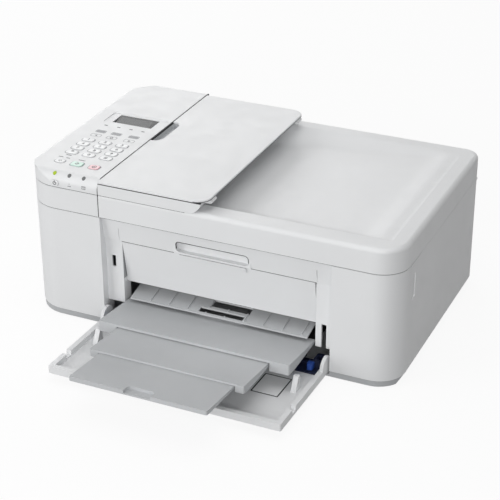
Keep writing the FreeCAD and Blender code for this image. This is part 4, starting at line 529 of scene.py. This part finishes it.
def fill(flat, points, shift=(0.0, 0.0)):
    flat.faces.new([flat.verts.new((x + shift[0], y + shift[1], 0.0)) for x, y in points])


def band(flat, outer, inner, closed=True, shift=(0.0, 0.0)):
    """A ribbon of quads between two rows of points."""
    rows = []
    for points in (outer, inner):
        rows.append([flat.verts.new((x + shift[0], y + shift[1], 0.0)) for x, y in points])
    count = len(outer) if closed else len(outer) - 1
    for i in range(count):
        j = (i + 1) % len(outer)
        flat.faces.new((rows[0][i], rows[0][j], rows[1][j], rows[1][i]))


def framed(flat, width, depth, corner, line, shift=(0.0, 0.0)):
    outer = soft_rectangle(width, depth, corner)
    inner = soft_rectangle(width - 2 * line, depth - 2 * line, max(corner - line, 0.1))
    band(flat, outer, inner, True, shift)


def bar(flat, width, depth, shift=(0.0, 0.0)):
    half_x, half_y = width / 2, depth / 2
    fill(flat, [(-half_x, -half_y), (half_x, -half_y), (half_x, half_y), (-half_x, half_y)], shift)


GLYPH_BOLD = 0.14


def glyph(text, size):
    """One sign of the built-in font as a flat drawing."""
    curve = bpy.data.curves.new("glyph", "FONT")
    curve.body = text
    curve.size = size
    curve.offset = GLYPH_BOLD
    curve.align_x = "CENTER"
    curve.align_y = "CENTER"
    holder = bpy.data.objects.new("glyph", curve)
    scene.collection.objects.link(holder)
    graph = bpy.context.evaluated_depsgraph_get()
    mesh = bpy.data.meshes.new_from_object(holder.evaluated_get(graph))
    flat = bmesh.new()
    flat.from_mesh(mesh)
    bmesh.ops.remove_doubles(flat, verts=flat.verts, dist=WELD)
    bpy.data.objects.remove(holder)
    bpy.data.curves.remove(curve)
    bpy.data.meshes.remove(mesh)
    return flat


print("flat shapes ready")

# %% [markdown]
# ## Inks
#
# Pad-printing ink on white plastic is not black but a soft grey, a little uneven where the pad lifted
# off. It could be one flat colour, but the plastic recipe gives that unevenness for free. A dark and a
# pale grey serve the panel, and a black and a white serve the label in the tray.

# %% Inks
def printing_ink(name, first, second):
    return moulded(name, first, second, gloss=(0.5, 0.65), grain=3200.0, depth=0.000004)


sign_grey = printing_ink("sign_grey", ink(70, 72, 75), ink(86, 88, 91))
pale_grey = printing_ink("pale_grey", ink(150, 152, 155), ink(164, 166, 169))
label_black = printing_ink("label_black", ink(34, 35, 37), ink(48, 49, 51))
label_white = printing_ink("label_white", ink(236, 237, 238), ink(241, 242, 243))
print("four inks")

# %% [markdown]
# ## Numbers on the keys
#
# Twelve keys carry a plain number, a star or a hash. The figures could be engraved, but on the real
# keys they are printed flush, so each is a glyph stamped onto its key. It rides on the key's own body
# and goes down with it when the key is pressed.

# %% Key numbers
FACE_UP = ((1.0, 0.0, 0.0), (0.0, 1.0, 0.0))
FIGURE_SIZE = 6.6
STAR_SIZE = 9.0


def middle_top(node):
    low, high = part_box(node)
    return Vector(((low.x + high.x) / 2, (low.y + high.y) / 2, high.z))


def mark_key(piece, key, flat, slot):
    """Stamp a drawing in sign grey onto the middle of a key's top."""
    node = f"key_{key}"
    stamp(piece, flat, middle_top(node), *FACE_UP, node, f"{key}_button", slot, sign_grey)


key_signs = {str(n): str(n) for n in range(10)}
key_signs.update({"star": "*", "hash": "#"})
for key, sign in key_signs.items():
    size = STAR_SIZE if sign == "*" else FIGURE_SIZE
    mark_key(f"figure_{key}", key, glyph(sign, size), "key_white")
print("numbers on", len(key_signs), "keys")

# %% [markdown]
# ## Signs on the other keys
#
# The start key shows a diamond with an upright line, the stop key a triangle in a ring, and the power
# key an open ring with a stroke, all common signs of the trade. The power key curves with the panel's
# front, so its sign is drawn as fine bands that the stamp can bend.

# %% Key signs
def diamond(flat, reach, hollow):
    """A diamond of a given reach, hollowed out to a share of it."""
    outer = [(reach, 0.0), (0.0, reach), (-reach, 0.0), (0.0, -reach)]
    band(flat, outer, [(x * hollow, y * hollow) for x, y in outer])


def ring(flat, outer, inner, steps, shift=(0.0, 0.0)):
    band(flat, arc(outer, 0, 360, steps)[:-1], arc(inner, 0, 360, steps)[:-1], True, shift)


flat = bmesh.new()
diamond(flat, 3.1, 0.68)
bar(flat, 0.8, 2.2)
mark_key("sign_start", "start", flat, "key_green")

flat = bmesh.new()
ring(flat, 2.9, 2.1, 40)
fill(flat, [(1.3, -0.9), (0.0, 1.4), (-1.3, -0.9)])
mark_key("sign_stop", "stop", flat, "key_red")

flat = bmesh.new()
diamond(flat, 2.4, 0.7)
mark_key("sign_colour", "colour", flat, "key_white")

FACE_FRONT = ((1.0, 0.0, 0.0), (0.0, 0.0, 1.0))
low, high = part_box("key_power")
power_middle = Vector(((low.x + high.x) / 2, low.y, (low.z + high.z) / 2))
POWER_GAP = (125, 415)
STROKE = (0.9, 0.7)
flat = bmesh.new()
band(flat, arc(2.4, *POWER_GAP), arc(1.5, *POWER_GAP), closed=False)
for i in range(4):
    bar(flat, *STROKE, (0.0, 0.5 + STROKE[1] * i))
bmesh.ops.remove_doubles(flat, verts=flat.verts, dist=WELD)
on_power = (power_middle, *FACE_FRONT, "key_power", "power_button")
stamp("sign_power", flat, *on_power, "key_white", sign_grey)
print("signs on four keys")

# %% [markdown]
# ## Touch pads and small marks on the panel
#
# Between the number keys and the display lie two rows of flat touch pads. They have no travel, so
# they are not keys of their own but printed on the panel: the front row carries two arrows and a ring,
# and the back row plain grey fields. Four short marks before the display and two signs under the
# dark lamps complete the print. Thin grey outlines round the keys go into the same stamp as the pad
# outlines; they are painted shade, standing in for the shade in the narrow gaps round each key. Each
# ink is one drawing and one stamp.

# %% Touch pads and marks
panel_low, panel_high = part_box("panel_face")


def on_panel(from_left, from_front):
    """A place on the panel's top, in millimetres from its left and front edges."""
    return Vector((panel_low.x + from_left * MM, panel_low.y + from_front * MM, panel_high.z))


PAD_SIZE = (14.0, 8.0)
PAD_CORNER = 2.4
PAD_LINE = 0.7
PAD_MARGIN = 2.2
PAD_FIELD_CORNER = 1.5
PAD_COLUMNS = (34.5, 56.0, 80.0)
PAD_ROWS = (117.0, 129.5)
MARK_SIZE = (4.2, 2.0)
MARK_ROW = 149.0
MARK_COLUMNS = (30.5, 48.5, 65.5, 82.0)
KEY_LABEL_HEIGHT = 1.3
# from the left, from the front, and width
KEY_LABELS = ((28.0, 45.0, 6.0), (38.0, 44.5, 5.0), (34.5, 52.5, 7.0), (56.5, 45.0, 9.0))
fields = bmesh.new()
frames_and_key_shade = bmesh.new()
signs = bmesh.new()
origin = on_panel(0.0, 0.0)
for row, from_front in enumerate(PAD_ROWS):
    for column, from_left in enumerate(PAD_COLUMNS):
        spot = (from_left, from_front)
        framed(frames_and_key_shade, *PAD_SIZE, PAD_CORNER, PAD_LINE, spot)
        if row == 1:
            width, depth = (side - PAD_MARGIN for side in PAD_SIZE)
            fill(fields, soft_rectangle(width, depth, PAD_FIELD_CORNER), spot)
        elif column == 1:
            ring(signs, 2.2, 1.3, 32, spot)
        else:
            way = column - 1
            fill(signs, [(way * 2.2, 0.0), (-way * 1.4, 2.0 * way), (-way * 1.4, -2.0 * way)], spot)
for from_left in MARK_COLUMNS:
    bar(signs, *MARK_SIZE, (from_left, MARK_ROW))
for from_left, from_front, width in KEY_LABELS:
    bar(signs, width, KEY_LABEL_HEIGHT, (from_left, from_front))
# the outlines round the keys below are painted shade: grey rings standing in for the shade in the gaps
# round each key
KEY_CORNER = 3.2
KEY_SHADE_LINE = 0.7
KEY_SHADE_AWAY = 0.6
for key in list(key_signs) + ["start", "stop", "colour"]:
    low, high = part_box(f"key_{key}")
    size = (high - low) / MM + Vector((1.0, 1.0, 0.0)) * 2 * (KEY_SHADE_AWAY + KEY_SHADE_LINE)
    middle = ((low + high) / 2 - origin) / MM
    corner = KEY_CORNER + KEY_SHADE_AWAY + KEY_SHADE_LINE
    framed(frames_and_key_shade, size.x, size.y, corner, KEY_SHADE_LINE, (middle.x, middle.y))
stamp("pad_fields", fields, origin, *FACE_UP, "panel_face", "base", "white_shell", pale_grey)
stamp("pad_frames_and_key_shade", frames_and_key_shade, origin, *FACE_UP, "panel_face", "base", "white_shell", pale_grey)
stamp("panel_signs", signs, origin, *FACE_UP, "panel_face", "base", "white_shell", sign_grey)

SIGN_HEIGHT = 0.1773
SIGN_FROM_LEFT = 64.5
SIGN_PITCH = 19.0
alarm = [(2.4, -1.8), (0.0, 2.2), (-2.4, -1.8)]
ALARM_HOLLOW = 0.62
ALARM_DROP = 0.15
flat = bmesh.new()
band(flat, alarm, [(x * ALARM_HOLLOW, y * ALARM_HOLLOW - ALARM_DROP) for x, y in alarm])
framed(flat, 5.2, 3.8, 0.5, 0.6, (SIGN_PITCH, 0.0))
bar(flat, 3.0, 0.6, (SIGN_PITCH, 0.2))
place = Vector((panel_low.x + SIGN_FROM_LEFT * MM, panel_low.y, SIGN_HEIGHT))
stamp("lamp_signs", flat, place, *FACE_FRONT, "panel_face", "base", "white_shell", sign_grey)
print("pads", len(PAD_ROWS) * len(PAD_COLUMNS), "and the marks round them")

# %% [markdown]
# ## Liquid crystal field
#
# Under the smoked window the display's active field is a paler rectangle. It could be a second colour
# in the window's finish, but a stamped film keeps a sharp edge. The stamp follows the tilt of the
# window, so the film lies exactly in its plane, and it carries the grid of cells.

# %% Display field
FIELD_SIZE = (44.0, 15.5)
FIELD_SHIFT = Vector((-0.001, 0.0, 0.0))
flat = bmesh.new()
fill(flat, soft_rectangle(*FIELD_SIZE, 0.6))
place = middle_top("lcd_module") + FIELD_SHIFT
stamp("display_field", flat, place, *FACE_UP, "lcd_module", "base", "display", pixel_grid)
print("display field", FIELD_SIZE, "mm")

# %% [markdown]
# ## Tray label
#
# By the right edge of the paper tray lies a label. A decal could be painted on the tray, but a stamped
# film keeps its sharp edge up close. The label is a bare white field with a dark edge round it.

# %% Tray label
tray_low, tray_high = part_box("front_tray")
LABEL_SIZE = (33.0, 42.0)
LABEL_LINE = 1.6
LABEL_FROM_MIDDLE = 0.0965
LABEL_FROM_CASE = 0.0535
LABEL_ABOVE = 0.03
bay_middle = (tray_low.x + tray_high.x) / 2
label_place = Vector((bay_middle + LABEL_FROM_MIDDLE, panel_low.y - LABEL_FROM_CASE, LABEL_ABOVE))
on_tray = (label_place, *FACE_UP, "front_tray", "paper_tray")
flat = bmesh.new()
framed(flat, *LABEL_SIZE, 1.2, LABEL_LINE)
stamp("tray_label_edge", flat, *on_tray, "inner_black", label_black)
flat = bmesh.new()
fill(flat, soft_rectangle(LABEL_SIZE[0] - 2 * LABEL_LINE, LABEL_SIZE[1] - 2 * LABEL_LINE, 0.4))
stamp("tray_label_field", flat, *on_tray, "white_shell", label_white)
print("tray label", LABEL_SIZE, "mm")

# %% [markdown]
# ## Finger rest
#
# Beside the panel, the document tray has a notch for a fingertip, and the hollow under it is lined
# with a grey insert. Its grey is partly the insert's own colour and partly painted shade of the hollow.
# It could be painted on the feeder, but the insert has an edge of its own that catches the light. It is
# a shallow cup: one outline, drawn at four levels, with a floor at the bottom.

# %% Finger rest
def skin_between(name, loops):
    """A closed mesh over a row of loops that all have the same number of points."""
    shell = bmesh.new()
    rows = [[shell.verts.new(point) for point in loop] for loop in loops]
    count = len(rows[0])
    for first, second in zip(rows, rows[1:]):
        for i in range(count):
            j = (i + 1) % count
            shell.faces.new((first[i], first[j], second[j], second[i]))
    shell.faces.new(reversed(rows[0]))
    shell.faces.new(rows[-1])
    bmesh.ops.recalc_face_normals(shell, faces=shell.faces)
    mesh = bpy.data.meshes.new(name)
    shell.to_mesh(mesh)
    shell.free()
    return mesh


lid_low, lid_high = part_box("lid_shell")
feeder_low, feeder_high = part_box("feeder_body")
REST_FROM_FRONT = 130.0
REST_SIZE = (13.0, 62.0)
REST_CORNER = 12.0
REST_DEPTH = 6.0
REST_SKIN = 0.4
REST_GAP = 0.02
REST_SUNK = 0.2


def rest_outline(inset, height):
    """The hollow's outline, drawn in by an inset, at a height below the deck."""
    width, length = REST_SIZE
    corner = REST_CORNER - inset
    points = [(inset, length - inset), (inset, inset)]
    points += [(width - REST_CORNER + x, REST_CORNER + y) for x, y in arc(corner, -90, 0, 8)]
    points += [(width - REST_CORNER + x, length - REST_CORNER + y) for x, y in arc(corner, 0, 90, 8)]
    corner_place = Vector((lid_low.x, panel_low.y + REST_FROM_FRONT * MM, feeder_high.z + height * MM))
    return [corner_place + MM * Vector((x, y, 0.0)) for x, y in points]


# inset and height: up the outside, over the rim and down to the floor
levels = [
    (REST_GAP, REST_GAP - REST_DEPTH),
    (REST_GAP, -REST_SUNK),
    (REST_SKIN, -REST_SUNK),
    (REST_SKIN, REST_SKIN - REST_DEPTH),
]
rest_mesh = skin_between("finger_rest", [rest_outline(*level) for level in levels])
# the rest's grey is partly the insert's own colour and partly painted shade of the hollow
rest_grey_and_shade = moulded("rest_grey_and_shade", ink(196, 198, 200), ink(204, 206, 208))
add_piece("finger_rest", rest_mesh, "lid", rest_grey_and_shade)
print("finger rest", REST_SIZE, "mm")

# %% [markdown]
# ## Painted shade beside the panel
#
# The dark lines round the panel and under the document tray are gaps in shade. Empty gaps would look
# pale here, because white walls throw light into them, so dark and grey strips at their bottom stand
# in for that shade: painted shade. The strip beside the panel is one small outline carried along its
# gap and over the rounded front, and it never reaches the wall across the gap.

# %% Painted shade beside the panel
# dark and grey strips standing in for the shade in gaps and under edges: painted shade
gap_shade_black = moulded("gap_shade_black", ink(40, 41, 43), ink(54, 55, 57), gloss=(0.6, 0.75))
gap_shade_grey = moulded("gap_shade_grey", ink(92, 94, 96), ink(104, 106, 108), gloss=(0.6, 0.75))
FRONT_ROUND = 12.0
LID_SEAM = 0.1438
BACK_GAP = 0.0006
# across the gap, then out of the panel's surface
gap_outline = [
    (0.75, -6.0), (0.75, -0.4), (-0.45, -0.07), (-0.45, -0.25),
    (-0.15, -0.6), (-0.03, -1.1), (-0.03, -6.0),
]


def add_strip(name, loops, body, finish):
    add_piece(name, skin_between(name, loops), body, finish)


def on_rounded_front(share, out):
    """A place along the panel's top, over its round front and down: 0 back, 1 to 2 round, 3 low."""
    bend_y, bend_z = panel_low.y + FRONT_ROUND * MM, panel_high.z - FRONT_ROUND * MM
    radius = (FRONT_ROUND + out) * MM
    if share <= 1:
        return bend_y + (1 - share) * (panel_high.y - BACK_GAP - bend_y), bend_z + radius
    if share >= 2:
        return bend_y - radius, bend_z + (share - 2) * (LID_SEAM - bend_z)
    angle = math.radians(90 * (share - 1))
    return bend_y - radius * math.sin(angle), bend_z + radius * math.cos(angle)


# a dark strip in the gap beside the panel: painted shade
stations = [0.0] + [1 + i / 10 for i in range(11)] + [3.0]
loops = []
for share in stations:
    places = [(panel_high.x + x * MM, *on_rounded_front(share, out)) for x, out in gap_outline]
    loops.append([Vector(place) for place in places])
add_strip("panel_gap_shade", loops, "base", gap_shade_black)
print("panel gap seal over", len(stations), "stations")

# %% [markdown]
# ## Strips of the document tray
#
# Two straight strips cross the feeder's front, one under the lip of the document tray and one at the
# feeder's foot. A third follows the tray's right edge round its corners and turns with the tray. All
# three are painted shade, dark and grey strips standing in for the shade under these edges. A bevelled
# curve could make them, but a skin over a row of loops keeps their edges sharp.

# %% Strips of the document tray
STRIP_START = lid_low.x + 0.0004
TRAY_STRIP_END = feeder_high.x - 0.0075
FOOT_STRIP_END = feeder_high.x - 0.028


def strip_along_x(outline, ends, front, height):
    """An outline of (back, up) in millimetres, carried straight from one end to the other."""
    loops = []
    for x in ends:
        loops.append([Vector((x, front + y * MM, height + z * MM)) for y, z in outline])
    return loops


def bend(x, y, radius, first, last, steps):
    """Places in plan along an arc round (x, y), with its radius in millimetres."""
    return [(x + across * MM, y + back * MM) for across, back in arc(radius, first, last, steps)]


# painted shade: a dark strip under the lip of the document tray
tray_edge = [(-0.05, -0.5), (-0.05, 0.12), (3.0, 0.12), (3.0, -0.02), (0.02, -0.02), (0.02, -0.5)]
loops = strip_along_x(tray_edge, (STRIP_START, TRAY_STRIP_END), panel_low.y, feeder_high.z)
add_strip("document_tray_shade", loops, "lid", gap_shade_black)

flap_low, flap_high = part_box("document_tray")
FLAP_CORNER = 16.0
FLAP_THICKNESS = 2.4
FLAP_BEHIND_KNUCKLE = 1.4
flap_foot = flap_high.z - FLAP_THICKNESS * MM


def flap_edge(out):
    """Round the document tray's front right corner, along its right edge and round the back one."""
    radius = FLAP_CORNER + out
    x = flap_high.x - (FLAP_BEHIND_KNUCKLE + FLAP_CORNER) * MM
    front, back = flap_low.y + FLAP_CORNER * MM, flap_high.y - FLAP_CORNER * MM
    return bend(x, front, radius, -90, 0, 16) + bend(x, back, radius, 0, 90, 16)


# painted shade: a grey strip under the document tray's right edge
# out of the edge and up from its foot
flap_strip = [(-0.1, 0.02), (0.15, 0.02), (0.15, 0.9), (-0.1, 0.9)]
edges = [[Vector((*place, flap_foot + z * MM)) for place in flap_edge(out)] for out, z in flap_strip]
add_strip("document_tray_edge_shade", list(zip(*edges)), "document_flap", gap_shade_grey)

# painted shade: a grey strip in the groove at the feeder's foot
feeder_line = [(0.4, 0.04), (0.4, 0.76), (0.98, 0.76), (0.98, 0.04)]
loops = strip_along_x(feeder_line, (STRIP_START, FOOT_STRIP_END), panel_low.y, feeder_low.z)
add_strip("feeder_foot_shade", loops, "lid", gap_shade_grey)
print("three strips on the feeder and its tray")

# %% [markdown]
# ## Seams of the panel
#
# The operation panel is a shell of its own on the case, with a second seam under its face, and both
# show as thin grey lines round its left corners. A grey strip in each groove stands in for the shade
# there: painted shade. It could be drawn in the finish, but a strip set back from the surface stays
# thin and dark from every side.

# %% Seams of the panel
LEFT_ROUND = 43.0
SEAM_END = 0.0012
SEAM_INSETS = (0.35, 0.98)
# name, low and high
PANEL_SEAMS = (("panel_seam_shade", 0.17125, 0.17195), ("panel_foot_shade", 0.14305, 0.14375))


def strip_between(outer, inner, low, high):
    """A flat strip between an outer and an inner row of places in plan, and two heights."""
    loops = []
    for near, far in zip(outer, inner):
        corners = ((*near, low), (*near, high), (*far, high), (*far, low))
        loops.append([Vector(corner) for corner in corners])
    return loops


def panel_side(inset):
    """From the panel's right front corner along its front, left side and back."""
    radius = LEFT_ROUND - inset
    x, end = panel_low.x + LEFT_ROUND * MM, panel_high.x - SEAM_END
    front, back = panel_low.y + LEFT_ROUND * MM, panel_high.y - LEFT_ROUND * MM
    corners = bend(x, front, radius, 270, 180, 16) + bend(x, back, radius, 180, 90, 16)
    return [(end, front - radius * MM)] + corners + [(end, back + radius * MM)]


# grey strips in the panel's two grooves: painted shade
outer, inner = (panel_side(inset) for inset in SEAM_INSETS)
for name, low, high in PANEL_SEAMS:
    add_strip(name, strip_between(outer, inner, low, high), "base", gap_shade_grey)
print("seams round the panel:", len(PANEL_SEAMS))

# %% [markdown]
# ## Painted shade on the front
#
# Three more lines cross the front: one under the lid's edge, one where the bezel ends above the output
# cover, and one round the top of the finger grip. Each is shade under an edge, and a dark or grey strip
# stands in for it: painted shade. The camera looks down on them, so a strip at the bottom of the gap
# would stay hidden. Each strip hangs from the edge above its gap instead.

# %% Painted shade on the front
RIGHT_ROUND = 33.0
LID_INSETS = (0.3, 1.2)
LID_STRIP = (-0.58, -0.02)


def lid_edge(inset):
    """From the lid's left front corner along its front and round the right corner."""
    radius = RIGHT_ROUND - inset
    x, y = lid_high.x - RIGHT_ROUND * MM, panel_low.y + RIGHT_ROUND * MM
    return [(STRIP_START, y - radius * MM)] + bend(x, y, radius, -90, -15, 14)


# painted shade: a grey strip under the lid's front edge
outer, inner = (lid_edge(inset) for inset in LID_INSETS)
low, high = (LID_SEAM + z * MM for z in LID_STRIP)
add_strip("lid_shade", strip_between(outer, inner, low, high), "lid", gap_shade_grey)

bezel_low, bezel_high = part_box("grip_bezel")
BEZEL_FOOT = 9.5
BEZEL_LEAN = 4.4 / 30.0
GAP_STRIP_INSET = 0.0225
# painted shade: a dark strip where the bezel ends above the output cover
gap_strip = [(0.1, -0.75), (0.1, 0.02), (0.9, 0.02), (0.9, -0.75)]
ends = (bezel_low.x + GAP_STRIP_INSET, bezel_high.x - GAP_STRIP_INSET)
loops = strip_along_x(gap_strip, ends, panel_low.y + BEZEL_FOOT * MM, bezel_low.z)
add_strip("cover_gap_shade", loops, "base", gap_shade_black)

GRIP_SIZE = (92.0, 16.0)
GRIP_SHIFT = -4.4
GRIP_CORNER = 5.0
GRIP_LOW = 6.0
# inset from the grip's edge and depth behind the bezel's face
grip_outline = [(-0.02, 0.15), (-0.02, 1.2), (1.0, 1.2), (1.0, 0.15)]


def grip_edge(inset, depth):
    """Up the grip's left side, along its top and down its right side, on the sloping bezel."""
    half = GRIP_SIZE[0] / 2
    middle_x = half - GRIP_CORNER
    middle_z = GRIP_SIZE[1] - GRIP_CORNER
    radius = GRIP_CORNER - inset
    points = [(-half + inset, GRIP_LOW)]
    points += [(x - middle_x, z + middle_z) for x, z in arc(radius, 180, 90, 8)]
    points += [(x + middle_x, z + middle_z) for x, z in arc(radius, 90, 0, 8)]
    points += [(half - inset, GRIP_LOW)]
    centre = (bezel_low.x + bezel_high.x) / 2 + GRIP_SHIFT * MM
    places = []
    for x, z in points:
        y = panel_low.y + (BEZEL_FOOT - BEZEL_LEAN * z + depth) * MM
        places.append(Vector((centre + x * MM, y, bezel_low.z + z * MM)))
    return places


# painted shade: a dark strip round the top of the finger grip
edges = [grip_edge(inset, depth) for inset, depth in grip_outline]
add_strip("grip_shade", list(zip(*edges)), "base", gap_shade_black)
print("three seals on the front")

# %% [markdown]
# ## Painted shade beside the output cover
#
# A grey patch on each cheek beside the output cover stands in for the shade in the gap between cheek
# and cover: painted shade. It could be a block of its own, but it is a flat patch on a flat wall, so it
# is stamped sideways onto each cheek, as the signs are onto their keys.

# %% Painted shade on the cheeks
# grey patches on the cheeks beside the output cover: painted shade
cheek_shade_grey = moulded("cheek_shade_grey", ink(160, 162, 164), ink(170, 172, 174), gloss=(0.8, 0.9), grain=1200.0)
CHEEK_SHADE_SIZE = (14.5, 50.0)
CHEEK_SHADE_BACK = 0.0193
CHEEK_SHADE_HEIGHT = 0.0870
UPRIGHT = (0.0, 0.0, 1.0)
cover_low, cover_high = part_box("output_cover")
# name, place in X, and which way the patch reads across
cheek_shades = (("cheek_shade_left", cover_low.x, 1.0), ("cheek_shade_right", cover_high.x, -1.0))
for name, x, way in cheek_shades:
    flat = bmesh.new()
    fill(flat, soft_rectangle(*CHEEK_SHADE_SIZE, 0.5))
    place = Vector((x, panel_low.y + CHEEK_SHADE_BACK, CHEEK_SHADE_HEIGHT))
    stamp(name, flat, place, (0.0, way, 0.0), UPRIGHT, "front_trim", "base", "white_shell", cheek_shade_grey)
print("cheek_shades", CHEEK_SHADE_SIZE, "mm")

# %% Done
print("scene dressed")
